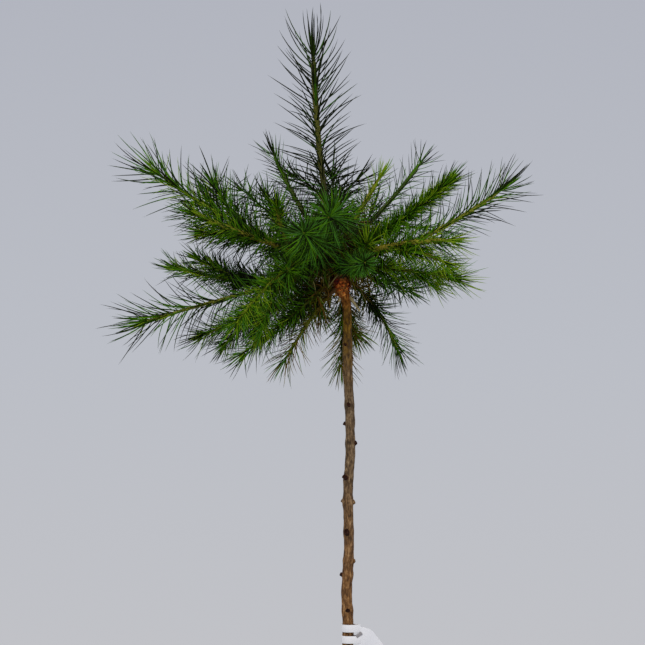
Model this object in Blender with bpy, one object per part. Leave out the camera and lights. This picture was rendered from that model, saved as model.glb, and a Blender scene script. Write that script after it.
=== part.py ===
"""A young dwarf larch grafted on a tall clean stem, standing in a plain round pot.

The pot holds a block of potting soil. The stem rises from it to the graft union, and the head above the
union is a ring of short boughs. Each bough carries one foliage mass: a young shoot, sometimes forked, with
needles all round it. Sizes are in metres, +Z is up, -Y is the front, and the origin is the middle of the
pot's underside.
"""

import math
import random
from collections import namedtuple

import bmesh
import bpy
import numpy as np
from mathutils import Matrix, Vector

UP = Vector((0, 0, 1))
SEED = 7
CLEARANCE = 0.0003
GOLDEN_ANGLE = math.radians(137.508)

# Pot: a tapered round container with a turned-out rim
POT_HEIGHT = 0.180
POT_TOP_RADIUS = 0.106
POT_FOOT_RADIUS = 0.082
POT_WALL = 0.0022
POT_FLOOR = 0.003
POT_FOOT_BEVEL = 0.003
RIM_WIDTH = 0.006
RIM_DEPTH = 0.014
POT_SIDES = 40
DRAIN_HOLES = 8
DRAIN_RADIUS = 0.006
DRAIN_SIDES = 8
DRAIN_SLANT = 0.9

# Soil: fills the pot to just under its rim
SOIL_DROP = 0.020
SOIL_DISHING = 0.003
SOIL_FLAT_SHARE = 0.62
SOIL_LEVEL = POT_HEIGHT - SOIL_DROP

# Stem: heights are above the soil, where it is cut flat
STEM_HEIGHT = 0.600
SCION_HEIGHT = 0.040
GRAIN_STEP = 0.004
STEM_SIDES = 12
STEM_RING_STEP = 0.017
LOWEST_PLAIN_RING = 0.1
STEM_LINE = (  # height above the soil, then how far it wanders to the right and to the back
    (0.000, 0.0000, 0.0000),
    (0.120, -0.0020, 0.0010),
    (0.240, -0.0005, 0.0020),
    (0.300, 0.0008, 0.0010),
    (0.332, -0.0002, 0.0005),
    (0.358, 0.0013, 0.0000),
    (0.392, 0.0013, -0.0008),
    (0.415, 0.0007, -0.0004),
    (0.451, 0.0029, 0.0006),
    (0.490, 0.0021, 0.0006),
    (0.530, 0.0006, 0.0000),
    (0.560, 0.0002, -0.0004),
    (0.581, -0.0004, -0.0004),
    (0.587, -0.0012, -0.0002),
    (0.594, -0.0045, 0.0000),
    (0.600, -0.0057, 0.0000),
    (0.612, -0.0078, 0.0000),
    (0.640, -0.0132, 0.0000),
)
STEM_GIRTH = (  # height above the soil, radius: root flare, clean stem, graft union, young scion
    (0.000, 0.0125),
    (0.008, 0.0098),
    (0.025, 0.0076),
    (0.080, 0.0063),
    (0.300, 0.0048),
    (0.400, 0.0043),
    (0.500, 0.0040),
    (0.578, 0.0040),
    (0.589, 0.0041),
    (0.595, 0.0063),
    (0.602, 0.0067),
    (0.612, 0.0062),
    (0.640, 0.0052),
)
SEEN_SPURS = (  # height above the soil, direction round the stem in degrees from the right
    (0.545, -120),
    (0.533, -15),
    (0.492, -98),
    (0.475, 180),
    (0.458, -15),
    (0.428, -130),
    (0.407, 176),
    (0.406, 4),
    (0.380, -112),
    (0.354, -12),
    (0.342, 180),
    (0.311, -88),
)
LOWEST_SPUR = 0.045
HIGHEST_PLAIN_SPUR = 0.275
SPUR_STEP = 0.027
SPUR_RADIUS = 0.0024
SPUR_REACH = 0.0020
SPUR_END_SHARE = 0.55
SPUR_RISE = 0.5
SPUR_SIDES = 5

# Tag: a blank label. Two bands with a slot between them loop round the stem; the flag hangs to the right.
TAG_HEIGHT = 0.2923
TAG_BAND_WIDTH = 0.0066
TAG_SLOT_WIDTH = 0.0033
TAG_LOOP_RADIUS = 0.0060
TAG_THICKNESS = 0.0006
TAG_SIDES = 16
TAG_FLAG_DEPTH = 0.0045
TAG_OUTLINE = (  # right and up from the loop's middle, in the plane of the flag
    (0.0042, 0.0082),
    (0.0110, 0.0062),
    (0.0176, 0.0048),
    (0.0216, 0.0022),
    (0.0622, -0.0520),
    (0.0607, -0.0560),
    (0.0492, -0.0665),
    (0.0457, -0.0665),
    (0.0046, -0.0116),
    (0.0042, -0.0082),
)

# Boughs and shoots
BOUGH_BASE_RADIUS = 0.0025
BOUGH_TIP_RADIUS = 0.0021
BOUGH_SIDES = 6
BOUGH_RING_STEP = 0.008
SHOOT_BASE_RADIUS = 0.0021
SHOOT_TIP_RADIUS = 0.0016
SHOOT_SIDES = 4
SHOOT_RING_STEP = 0.018
SHOOT_LINE_STEP = 0.004
TAKE_OFF_SHARE = 0.42
FORK_SHARE = 0.35
BEND_STEPS = 40

# Needles
FORK_NEEDLE_SHARE = 0.85
NEEDLE_RADIUS = 0.0012
NEEDLE_STEP = 0.0048
NEEDLE_SIDES = 3
NEEDLE_SPREAD_AT_BASE = math.radians(58)
NEEDLE_SPREAD_AT_TIP = math.radians(22)
NEEDLE_SPREAD_SCATTER = math.radians(7)
NEEDLE_LENGTH_SHARES = (0.88, 1.06)
NEEDLE_LEANS = (1.0, 0.75, 0.55, 0.40)
NEEDLE_ROOM_SHARE = 0.75
END_NEEDLE_SHARE = 0.90
NEEDLE_LEAST_SHARE = 0.30
SPACE_CHECKS = 12
SPACE_MARGIN = 0.0005
SPACE_STEP = 0.003
SOLID_STEP = 0.002
LOWEST_NEEDLED_STEM = 0.4

Limb = namedtuple("Limb", "height azimuth rise bare tip needle forks")
Fork = namedtuple("Fork", "share tip")

# Each limb leaves the head at a height above the union and an azimuth in degrees from the right, rising at
# the given angle. It is bare for a stretch, and then it is a shoot with needles of the given length, which
# may fork. Tips are measured from the union.
LIMBS = {
    "leader": Limb(0.040, 90, 90, 0.014, (-0.024, 0.010, 0.203), 0.046, ()),
    "west_spire": Limb(0.034, 165, 50, 0.014, (-0.060, 0.020, 0.117), 0.024, ()),
    "east_spire": Limb(0.035, -5, 55, 0.013, (0.035, 0.000, 0.095), 0.021, ()),
    "back_high": Limb(0.034, 88, 45, 0.014, (-0.007, 0.090, 0.102), 0.036, (
        Fork(0.35, (-0.040, 0.060, 0.098)),
        Fork(0.45, (0.016, 0.065, 0.095)),
    )),
    "front_centre": Limb(0.032, -85, 42, 0.017, (-0.011, -0.125, 0.052), 0.032, ()),
    "east_dark": Limb(0.029, 42, 30, 0.015, (0.074, 0.060, 0.112), 0.026, ()),
    "back_west": Limb(0.027, 128, 20, 0.018, (-0.091, 0.110, 0.090), 0.028, (
        Fork(0.45, (-0.068, 0.095, 0.084)),
    )),
    "west_high": Limb(0.026, 180, 10, 0.018, (-0.163, 0.015, 0.099), 0.047, (
        Fork(0.28, (-0.113, 0.040, 0.088)),
    )),
    "east_mid": Limb(0.026, -28, 18, 0.015, (0.094, -0.040, 0.088), 0.025, ()),
    "front_west": Limb(0.024, -110, 14, 0.017, (-0.031, -0.135, 0.039), 0.032, ()),
    "back_east": Limb(0.022, 72, 16, 0.018, (0.034, 0.135, 0.077), 0.030, (
        Fork(0.30, (0.077, 0.110, 0.055)),
    )),
    "east_long": Limb(0.021, 6, 4, 0.018, (0.143, 0.010, 0.084), 0.040, ()),
    "west_front": Limb(0.018, -142, 12, 0.017, (-0.126, -0.060, 0.059), 0.030, (
        Fork(0.10, (-0.054, -0.075, 0.064)),
        Fork(0.42, (-0.120, -0.028, 0.044)),
    )),
    "west_mid": Limb(0.018, 157, -26, 0.018, (-0.150, 0.060, 0.016), 0.026, (
        Fork(0.35, (-0.127, 0.020, 0.023)),
    )),
    "east_front": Limb(0.018, -45, 20, 0.017, (0.091, -0.085, 0.035), 0.030, (
        Fork(0.35, (0.090, -0.062, 0.016)),
    )),
    "back_centre": Limb(0.015, 100, -2, 0.018, (-0.018, 0.150, 0.035), 0.030, (
        Fork(0.30, (-0.058, 0.130, 0.030)),
    )),
    "front_east": Limb(0.012, -76, 4, 0.017, (0.019, -0.125, 0.015), 0.015, ()),
    "west_low_long": Limb(0.013, 184, -14, 0.018, (-0.171, -0.010, -0.033), 0.042, ()),
    "back_east_low": Limb(0.012, 48, -10, 0.015, (0.065, 0.090, -0.004), 0.028, (
        Fork(0.30, (0.092, 0.070, 0.012)),
    )),
    "east_low": Limb(0.011, -18, 6, 0.015, (0.100, -0.030, 0.004), 0.030, ()),
    "front_low_west": Limb(0.011, -125, 40, 0.017, (-0.088, -0.095, -0.034), 0.032, (
        Fork(0.30, (-0.070, -0.060, -0.045)),
    )),
    "back_low_west": Limb(0.008, 122, -24, 0.014, (-0.040, 0.080, -0.030), 0.028, (
        Fork(0.25, (-0.073, 0.070, -0.026)),
        Fork(0.20, (-0.016, 0.060, -0.028)),
    )),
    "west_low_short": Limb(0.006, 168, -26, 0.015, (-0.122, 0.010, -0.045), 0.028, (
        Fork(0.40, (-0.104, 0.032, -0.054)),
    )),
    "low_front": Limb(0.004, -146, -36, 0.015, (-0.084, -0.050, -0.061), 0.028, (
        Fork(0.25, (-0.060, -0.030, -0.045)),
    )),
    "droop_east": Limb(0.003, 14, -34, 0.012, (0.051, 0.020, -0.058), 0.028, ()),
    "droop_back": Limb(0.002, 84, -30, 0.011, (0.001, 0.045, -0.073), 0.028, (
        Fork(0.25, (0.016, 0.056, -0.045)),
    )),
    "droop_west": Limb(-0.003, 203, -44, 0.011, (-0.049, -0.005, -0.068), 0.026, ()),
}

COLOURS = {  # red, green and blue, then roughness
    "pot_plastic": ((0.030, 0.032, 0.034), 0.55),
    "soil": ((0.045, 0.028, 0.018), 0.95),
    "stem_bark": ((0.200, 0.125, 0.070), 0.80),
    "bough_bark": ((0.300, 0.190, 0.075), 0.75),
    "needle_green": ((0.045, 0.150, 0.030), 0.50),
    "tag_plastic": ((0.850, 0.860, 0.860), 0.45),
}


class Line:
    """A smooth line through space, read by the distance along it."""

    def __init__(self, points):
        self.points = [Vector(point) for point in points]
        self.marks = [0.0]
        for start, end in zip(self.points, self.points[1:]):
            self.marks.append(self.marks[-1] + (end - start).length)
        self.length = self.marks[-1]

    def at(self, distance):
        last = len(self.points) - 2
        i = min(max(int(np.searchsorted(self.marks, distance)) - 1, 0), last)
        share = (distance - self.marks[i]) / (self.marks[i + 1] - self.marks[i])
        return self.points[i].lerp(self.points[i + 1], share)

    def heading(self, distance):
        step = self.length / 50
        back = max(distance - step, 0.0)
        return (self.at(min(distance + step, self.length)) - self.at(back)).normalized()

    def stretch(self, start, end, step):
        """Distances from start to end in even steps of about the given size."""
        count = max(2, round((end - start) / step) + 1)
        return [start + (end - start) * i / (count - 1) for i in range(count)]


def bend(start, control, end):
    """A line from start to end that sets off towards the control point."""
    shares = [i / BEND_STEPS for i in range(BEND_STEPS + 1)]
    return Line([start * (1 - t) ** 2 + control * 2 * t * (1 - t) + end * t * t for t in shares])


def smooth_value(stations, height):
    """Reads a table of (height, value, ...) rows with a smooth curve between the rows."""
    rows = np.array(stations)
    i = int(np.clip(np.searchsorted(rows[:, 0], height) - 1, 0, len(rows) - 2))
    t = (height - rows[i, 0]) / (rows[i + 1, 0] - rows[i, 0])
    slopes = np.gradient(rows[:, 1:], rows[:, 0], axis=0)
    gap = rows[i + 1, 0] - rows[i, 0]
    a, b = rows[i, 1:], rows[i + 1, 1:]
    return (
        a * (2 * t**3 - 3 * t**2 + 1)
        + slopes[i] * gap * (t**3 - 2 * t**2 + t)
        + b * (3 * t**2 - 2 * t**3)
        + slopes[i + 1] * gap * (t**3 - t**2)
    )


def stem_centre(height):
    """The stem's middle at a height above the soil."""
    right, back = smooth_value(STEM_LINE, height)
    return Vector((right, back, SOIL_LEVEL + height))


def stem_radius(height):
    heights, radii = zip(*STEM_GIRTH)
    return float(np.interp(height, heights, radii))


def clear_scene():
    for thing in list(bpy.data.objects):
        bpy.data.objects.remove(thing, do_unlink=True)


def material(name):
    made = bpy.data.materials.get(name)
    if made is None:
        made = bpy.data.materials.new(name)
        made.use_nodes = True
        colour, roughness = COLOURS[name]
        shader = made.node_tree.nodes["Principled BSDF"]
        shader.inputs["Base Color"].default_value = (*colour, 1)
        shader.inputs["Roughness"].default_value = roughness
        shader.inputs["Metallic"].default_value = 0.0
    return made


def add_object(name, body, finish, collection=None, smooth=None):
    """Turns a bmesh into a named object with one material."""
    bmesh.ops.recalc_face_normals(body, faces=body.faces)
    mesh = bpy.data.meshes.new(name)
    body.to_mesh(mesh)
    body.free()
    if smooth is not None:
        mesh.shade_smooth()
        mesh.set_sharp_from_angle(angle=math.radians(smooth))
    made = bpy.data.objects.new(name, mesh)
    made.data.materials.append(material(finish))
    (collection or bpy.context.scene.collection).objects.link(made)
    return made


def tube(body, centres, radii, sides, headings=None, point=None):
    """Adds a closed tube with flat ends, or with its far end drawn out to a point.

    Each ring is square to its heading, which is the way to the next centre unless headings are given.
    """
    rings = []
    side = None
    for i, centre in enumerate(centres):
        ahead = centres[min(i + 1, len(centres) - 1)] - centres[max(i - 1, 0)]
        normal = headings[i] if headings else ahead.normalized()
        if side is None:
            side = normal.orthogonal().normalized()
        side = (side - normal * side.dot(normal)).normalized()
        other = normal.cross(side)
        ring = []
        for k in range(sides):
            turn = 2 * math.pi * k / sides
            offset = side * math.cos(turn) + other * math.sin(turn)
            ring.append(body.verts.new(centre + offset * radii[i]))
        rings.append(ring)
    for low, high in zip(rings, rings[1:]):
        for k in range(sides):
            body.faces.new((low[k], low[(k + 1) % sides], high[(k + 1) % sides], high[k]))
    body.faces.new(reversed(rings[0]))
    if point is None:
        body.faces.new(rings[-1])
        return
    apex = body.verts.new(point)
    for k in range(sides):
        body.faces.new((rings[-1][k], rings[-1][(k + 1) % sides], apex))


def turned(profile, sides):
    """A closed body turned about the Z axis from a profile of (radius, height) with both ends on the axis."""
    body = bmesh.new()
    points = [body.verts.new((radius, 0, height)) for radius, height in profile]
    edges = [body.edges.new(pair) for pair in zip(points, points[1:])]
    bmesh.ops.spin(
        body, geom=points + edges, axis=UP, cent=(0, 0, 0), steps=sides, angle=2 * math.pi, use_merge=True
    )
    bmesh.ops.remove_doubles(body, verts=body.verts, dist=CLEARANCE / 10)
    return body


def pot_outer_radius(height):
    return POT_FOOT_RADIUS + (POT_TOP_RADIUS - POT_FOOT_RADIUS) * height / POT_HEIGHT


def make_pot():
    """The pot's wall, floor and rim, with drain holes through the corner at its foot."""
    rim_foot = POT_HEIGHT - RIM_DEPTH
    profile = [
        (0, 0),
        (POT_FOOT_RADIUS - POT_FOOT_BEVEL, 0),
        (pot_outer_radius(POT_FOOT_BEVEL), POT_FOOT_BEVEL),
        (pot_outer_radius(rim_foot), rim_foot),
        (pot_outer_radius(rim_foot) + RIM_WIDTH, rim_foot + POT_WALL),
        (POT_TOP_RADIUS + RIM_WIDTH, POT_HEIGHT - POT_WALL),
        (POT_TOP_RADIUS + RIM_WIDTH - POT_WALL, POT_HEIGHT),
        (POT_TOP_RADIUS - POT_WALL, POT_HEIGHT),
        (pot_outer_radius(POT_FLOOR) - POT_WALL, POT_FLOOR),
        (0, POT_FLOOR),
    ]
    pot = add_object("pot", turned(profile, POT_SIDES), "pot_plastic", smooth=35)
    cutter = bmesh.new()
    for i in range(DRAIN_HOLES):
        turn = 2 * math.pi * (i + 0.5) / DRAIN_HOLES
        outward = Vector((math.cos(turn), math.sin(turn), -DRAIN_SLANT)).normalized()
        corner = Vector((math.cos(turn), math.sin(turn), 0)) * (POT_FOOT_RADIUS - POT_WALL)
        corner.z = POT_FLOOR
        reach = outward * DRAIN_RADIUS * 2
        tube(cutter, [corner - reach, corner + reach], [DRAIN_RADIUS] * 2, DRAIN_SIDES)
    holes = add_object("drain_cutter", cutter, "pot_plastic")
    holes.hide_render = True
    holes.display_type = "WIRE"
    cut = pot.modifiers.new("drain holes", "BOOLEAN")
    cut.operation = "DIFFERENCE"
    cut.solver = "EXACT"
    cut.object = holes
    return pot


def make_soil():
    """The block of potting soil, clear of the pot all round and a little dished at its edge."""
    floor = POT_FLOOR + CLEARANCE
    gap = POT_WALL + CLEARANCE * 1.5
    edge = SOIL_LEVEL - SOIL_DISHING
    profile = [
        (0, floor),
        (pot_outer_radius(floor) - gap, floor),
        (pot_outer_radius(edge) - gap, edge),
        (POT_TOP_RADIUS * SOIL_FLAT_SHARE, SOIL_LEVEL),
        (0, SOIL_LEVEL),
    ]
    return add_object("soil", turned(profile, POT_SIDES), "soil", smooth=35)


def fused(name, trunk_body, parts, finish, smooth=None):
    """One solid from a body and the many small bodies that are sunk into it."""
    whole = add_object(name, trunk_body, finish, smooth=smooth)
    pieces = bpy.data.collections.new(name + "_pieces")
    bpy.context.scene.collection.children.link(pieces)
    for i, part in enumerate(parts):
        add_object(f"{name}_piece_{i}", part, finish, pieces)
    join = whole.modifiers.new("join", "BOOLEAN")
    join.operation = "UNION"
    join.operand_type = "COLLECTION"
    join.collection = pieces
    join.solver = "MANIFOLD"
    bpy.context.view_layer.objects.active = whole
    bpy.ops.object.modifier_apply(modifier=join.name)
    for part in list(pieces.objects):
        bpy.data.objects.remove(part, do_unlink=True)
    bpy.data.collections.remove(pieces)
    return whole


def spur_places():
    """Height and azimuth of every pruned spur on the stem: the ones seen, then a spiral down to the soil."""
    places = list(SEEN_SPURS)
    count = int((HIGHEST_PLAIN_SPUR - LOWEST_SPUR) / SPUR_STEP) + 1
    for i in range(count):
        places.append((LOWEST_SPUR + i * SPUR_STEP, math.degrees(i * GOLDEN_ANGLE)))
    return places


def make_trunk():
    """The stem from its flat cut on the soil, through the graft union, to the top of the scion."""
    top = STEM_HEIGHT + SCION_HEIGHT
    fine = [height for height, _ in STEM_GIRTH]
    plain = np.arange(LOWEST_PLAIN_RING, top, STEM_RING_STEP)
    heights = sorted({round(height, 4) for height in [*plain, *fine]})
    centres = [stem_centre(height) for height in heights]
    centres[0].z += CLEARANCE
    headings = [UP] + [(above - below).normalized() for below, above in zip(centres, centres[1:])]
    stem = bmesh.new()
    tube(stem, centres, [stem_radius(height) for height in heights], STEM_SIDES, headings)
    spurs = []
    for height, azimuth in spur_places():
        turn = math.radians(azimuth)
        outward = Vector((math.cos(turn), math.sin(turn), SPUR_RISE)).normalized()
        inner = stem_centre(height)
        radius = stem_radius(height)
        line = [inner, inner + outward * radius, inner + outward * (radius + SPUR_REACH)]
        spur = bmesh.new()
        tube(spur, line, [SPUR_RADIUS, SPUR_RADIUS, SPUR_RADIUS * SPUR_END_SHARE], SPUR_SIDES)
        spurs.append(spur)
    return fused("trunk", stem, spurs, "stem_bark", smooth=50)


def make_tag():
    """The blank tag: two bands looped round the stem, joined by the flat flag at their right."""
    centre = stem_centre(TAG_HEIGHT)
    slack = TAG_LOOP_RADIUS - stem_radius(TAG_HEIGHT) - CLEARANCE * 2
    middle = centre + Vector((slack, 0, 0))
    low = TAG_SLOT_WIDTH / 2
    high = low + TAG_BAND_WIDTH
    upper = tag_band(middle, low, high)
    lower = tag_band(middle, -high, -low)
    return fused("tag", tag_flag(middle), [upper, lower], "tag_plastic")


def tag_band(middle, low, high):
    """A thin closed band round the stem, between two rises above the loop's middle."""
    band = bmesh.new()
    rings = []
    for radius in (TAG_LOOP_RADIUS, TAG_LOOP_RADIUS + TAG_THICKNESS):
        for rise in (low, high):
            ring = []
            for k in range(TAG_SIDES):
                turn = 2 * math.pi * k / TAG_SIDES
                corner = Vector((math.cos(turn) * radius, math.sin(turn) * radius, rise))
                ring.append(band.verts.new(middle + corner))
            rings.append(ring)
    inner_low, inner_high, outer_low, outer_high = rings
    for k in range(TAG_SIDES):
        n = (k + 1) % TAG_SIDES
        band.faces.new((inner_low[k], inner_high[k], inner_high[n], inner_low[n]))
        band.faces.new((outer_low[k], outer_low[n], outer_high[n], outer_high[k]))
        band.faces.new((inner_high[k], outer_high[k], outer_high[n], inner_high[n]))
        band.faces.new((inner_low[k], inner_low[n], outer_low[n], outer_low[k]))
    return band


def tag_flag(middle):
    """The tag's flat flag, which faces the front and slants down to the right."""
    flag = bmesh.new()
    sides = []
    for depth in (TAG_FLAG_DEPTH + TAG_THICKNESS / 2, TAG_FLAG_DEPTH - TAG_THICKNESS / 2):
        sides.append([flag.verts.new(middle + Vector((right, -depth, rise))) for right, rise in TAG_OUTLINE])
    front, back = sides
    flag.faces.new(front)
    flag.faces.new(reversed(back))
    for k in range(len(TAG_OUTLINE)):
        n = (k + 1) % len(TAG_OUTLINE)
        flag.faces.new((front[k], front[n], back[n], back[k]))
    return flag


def limb_line(limb):
    """The whole line of a limb, from the head's surface to its tip, and the way it faces at its root."""
    height = STEM_HEIGHT + limb.height
    union = stem_centre(STEM_HEIGHT)
    tip = union + Vector(limb.tip)
    grain = (stem_centre(height) - stem_centre(height - GRAIN_STEP)).normalized()
    if limb.rise == 90:
        root, facing = stem_centre(height) + grain * CLEARANCE, grain
        leaving = grain
    else:
        azimuth, rise = math.radians(limb.azimuth), math.radians(limb.rise)
        facing = Vector((math.cos(azimuth), math.sin(azimuth), 0))
        leaving = (facing * math.cos(rise) + UP * math.sin(rise)).normalized()
        facing = (facing - grain * facing.dot(grain)).normalized()
        root = stem_centre(height) + facing * (stem_radius(height) + CLEARANCE * 2)
    control = root + leaving * (tip - root).length * TAKE_OFF_SHARE
    return bend(root, control, tip), facing


def shoot_lines(limb):
    """The needled lines of a limb: its own shoot past the bare stretch, then each fork off that shoot."""
    whole, _ = limb_line(limb)
    start = limb.bare + CLEARANCE
    shoot = Line([whole.at(s) for s in whole.stretch(start, whole.length, SHOOT_LINE_STEP)])
    lines = [shoot]
    for fork in limb.forks:
        root = shoot.at(fork.share * shoot.length)
        tip = stem_centre(STEM_HEIGHT) + Vector(fork.tip)
        heading = shoot.heading(fork.share * shoot.length)
        lines.append(bend(root, root + heading * (tip - root).length * FORK_SHARE, tip))
    return lines


def make_bough(name, limb):
    line, facing = limb_line(limb)
    stations = line.stretch(0, limb.bare, BOUGH_RING_STEP)
    radii = np.linspace(BOUGH_BASE_RADIUS, BOUGH_TIP_RADIUS, len(stations))
    headings = [facing] + [line.heading(s) for s in stations[1:]]
    body = bmesh.new()
    tube(body, [line.at(s) for s in stations], radii, BOUGH_SIDES, headings)
    return add_object("bough_" + name, body, "bough_bark", smooth=50)


def shoot_radius(line, distance):
    return SHOOT_BASE_RADIUS + (SHOOT_TIP_RADIUS - SHOOT_BASE_RADIUS) * distance / line.length


def shoot_body(line, needle):
    """The shoot's own stem, drawn out at its end into the needle that carries the line on."""
    stations = line.stretch(0, line.length, SHOOT_RING_STEP)
    centres = [line.at(s) for s in stations]
    radii = [shoot_radius(line, s) for s in stations]
    headings = [line.heading(s) for s in stations]
    point = centres[-1] + headings[-1] * needle * END_NEEDLE_SHARE
    body = bmesh.new()
    tube(body, centres, radii, SHOOT_SIDES, headings, point)
    return body


def needle_rows(line, needle, chance):
    """Root distance, turn, spread and length of each needle, in a spiral up the shoot."""
    count = int(line.length / NEEDLE_STEP)
    turn = chance.uniform(0, 2 * math.pi)
    for i in range(1, count + 1):
        share = i / (count + 1)
        turn += GOLDEN_ANGLE
        spread = NEEDLE_SPREAD_AT_BASE + (NEEDLE_SPREAD_AT_TIP - NEEDLE_SPREAD_AT_BASE) * share**2
        spread += chance.uniform(-NEEDLE_SPREAD_SCATTER, NEEDLE_SPREAD_SCATTER)
        yield share * line.length, turn, spread, needle * chance.uniform(*NEEDLE_LENGTH_SHARES)


def needle_direction(line, distance, turn, spread):
    along = line.heading(distance)
    side = along.orthogonal().normalized()
    side = Matrix.Rotation(turn, 3, along) @ side
    return (along * math.cos(spread) + side * math.sin(spread)).normalized()


class Space:
    """Keeps each foliage mass to its own space: a needle stays nearer to its own shoots than to others."""

    def __init__(self):
        shoots = [
            (name, line.at(s))
            for name, limb in LIMBS.items()
            for line in shoot_lines(limb)
            for s in line.stretch(0, line.length, SPACE_STEP)
        ]
        self.owner = np.array([name for name, _ in shoots])
        self.bones = np.array([point for _, point in shoots])
        heights = np.arange(LOWEST_NEEDLED_STEM, STEM_HEIGHT + SCION_HEIGHT, SOLID_STEP)
        solids = [(stem_centre(height), stem_radius(height)) for height in heights]
        for limb in LIMBS.values():
            line, _ = limb_line(limb)
            solids += [(line.at(s), BOUGH_BASE_RADIUS) for s in line.stretch(0, limb.bare, SOLID_STEP)]
        self.solids = np.array([point for point, _ in solids])
        self.girths = np.array([radius for _, radius in solids])

    def free_length(self, name, root, direction, length):
        """How far the needle can run from its root before it leaves its own space."""
        shares = np.linspace(0, 1, SPACE_CHECKS + 1)[1:]
        points = np.array(root) + np.outer(shares * length, np.array(direction))
        gaps = np.linalg.norm(points[:, None] - self.bones[None], axis=2)
        own = gaps[:, self.owner == name].min(axis=1)
        other = gaps[:, self.owner != name].min(axis=1)
        girth = NEEDLE_RADIUS * (1 - shares)
        inside = other - own > 2 * girth + SPACE_MARGIN
        to_solid = np.linalg.norm(points[:, None] - self.solids[None], axis=2) - self.girths[None]
        inside &= to_solid.min(axis=1) > girth + SPACE_MARGIN
        return length * (shares[-1] if inside.all() else shares[max(inside.argmin() - 1, 0)])


def needle_body(root, direction, length):
    """A three-sided spike that tapers to a point."""
    body = bmesh.new()
    side = direction.orthogonal().normalized() * NEEDLE_RADIUS
    tip = body.verts.new(root + direction * length)
    ring = []
    for k in range(NEEDLE_SIDES):
        turn = Matrix.Rotation(2 * math.pi * k / NEEDLE_SIDES, 3, direction)
        ring.append(body.verts.new(root + turn @ side))
    for k in range(NEEDLE_SIDES):
        body.faces.new((ring[k], ring[(k + 1) % NEEDLE_SIDES], tip))
    body.faces.new(ring)
    return body


def fitted_needle(space, name, line, distance, turn, spread, length):
    """A needle that leans further forward, and then ends sooner, where its mass has little room."""
    root = line.at(distance)
    best = 0.0
    for lean in NEEDLE_LEANS:
        direction = needle_direction(line, distance, turn, spread * lean)
        free = space.free_length(name, root, direction, length)
        if free > best:
            best, aim = free, direction
        if free >= length * NEEDLE_ROOM_SHARE:
            break
    if best < length * NEEDLE_LEAST_SHARE:
        return None
    return needle_body(root, aim, best)


def make_foliage(name, limb, space, chance):
    """One foliage mass: the shoot with its forks, and every needle that keeps to the mass's space."""
    shoot, *forks = shoot_lines(limb)
    needled = [(shoot, limb.needle)] + [(fork, limb.needle * FORK_NEEDLE_SHARE) for fork in forks]
    body, *parts = [shoot_body(line, needle) for line, needle in needled]
    for line, needle in needled:
        for distance, turn, spread, length in needle_rows(line, needle, chance):
            spike = fitted_needle(space, name, line, distance, turn, spread, length)
            if spike is not None:
                parts.append(spike)
    return fused("foliage_" + name, body, parts, "needle_green")


def main():
    clear_scene()
    chance = random.Random(SEED)
    make_pot()
    make_soil()
    make_trunk()
    make_tag()
    space = Space()
    for name, limb in LIMBS.items():
        make_bough(name, limb)
        make_foliage(name, limb, space, chance)


main()
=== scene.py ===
"""The finish of a potted dwarf larch standard: bark, needles, pot, soil and tag, under soft studio light."""

import math
from collections import namedtuple

import bpy
import numpy as np
from mathutils import Matrix, Vector


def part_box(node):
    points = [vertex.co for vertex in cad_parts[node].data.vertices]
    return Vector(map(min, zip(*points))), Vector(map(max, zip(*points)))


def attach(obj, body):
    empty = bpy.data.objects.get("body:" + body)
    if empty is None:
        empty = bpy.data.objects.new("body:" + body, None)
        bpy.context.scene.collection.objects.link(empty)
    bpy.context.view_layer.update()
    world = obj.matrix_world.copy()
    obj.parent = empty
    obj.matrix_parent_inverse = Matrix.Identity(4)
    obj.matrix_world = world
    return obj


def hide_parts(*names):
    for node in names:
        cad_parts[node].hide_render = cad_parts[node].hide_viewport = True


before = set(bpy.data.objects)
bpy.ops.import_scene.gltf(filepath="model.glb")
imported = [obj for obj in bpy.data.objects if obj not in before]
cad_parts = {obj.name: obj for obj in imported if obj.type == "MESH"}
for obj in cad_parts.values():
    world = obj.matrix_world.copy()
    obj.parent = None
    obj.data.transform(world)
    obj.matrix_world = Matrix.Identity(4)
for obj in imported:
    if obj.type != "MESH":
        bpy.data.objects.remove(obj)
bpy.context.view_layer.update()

UP = np.array([0.0, 0.0, 1.0])
SEED = 21
GOLDEN_ANGLE = math.radians(137.508)

# The stem, as the frame has it
SOIL_LEVEL = float(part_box("soil")[1].z)
STEM_HEIGHT = 0.600
SCION_HEIGHT = 0.040
STEM_LINE = (  # height above the soil, then how far it wanders to the right and to the back
    (0.000, 0.0000, 0.0000),
    (0.120, -0.0020, 0.0010),
    (0.240, -0.0005, 0.0020),
    (0.300, 0.0008, 0.0010),
    (0.332, -0.0002, 0.0005),
    (0.358, 0.0013, 0.0000),
    (0.392, 0.0013, -0.0008),
    (0.415, 0.0007, -0.0004),
    (0.451, 0.0029, 0.0006),
    (0.490, 0.0021, 0.0006),
    (0.530, 0.0006, 0.0000),
    (0.560, 0.0002, -0.0004),
    (0.581, -0.0004, -0.0004),
    (0.587, -0.0012, -0.0002),
    (0.594, -0.0045, 0.0000),
    (0.600, -0.0057, 0.0000),
    (0.612, -0.0078, 0.0000),
    (0.640, -0.0132, 0.0000),
)
STEM_GIRTH = (  # height above the soil, radius
    (0.000, 0.0125),
    (0.008, 0.0098),
    (0.025, 0.0076),
    (0.080, 0.0063),
    (0.300, 0.0048),
    (0.400, 0.0043),
    (0.500, 0.0040),
    (0.578, 0.0040),
    (0.589, 0.0041),
    (0.595, 0.0063),
    (0.602, 0.0067),
    (0.612, 0.0062),
    (0.640, 0.0052),
)
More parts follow.
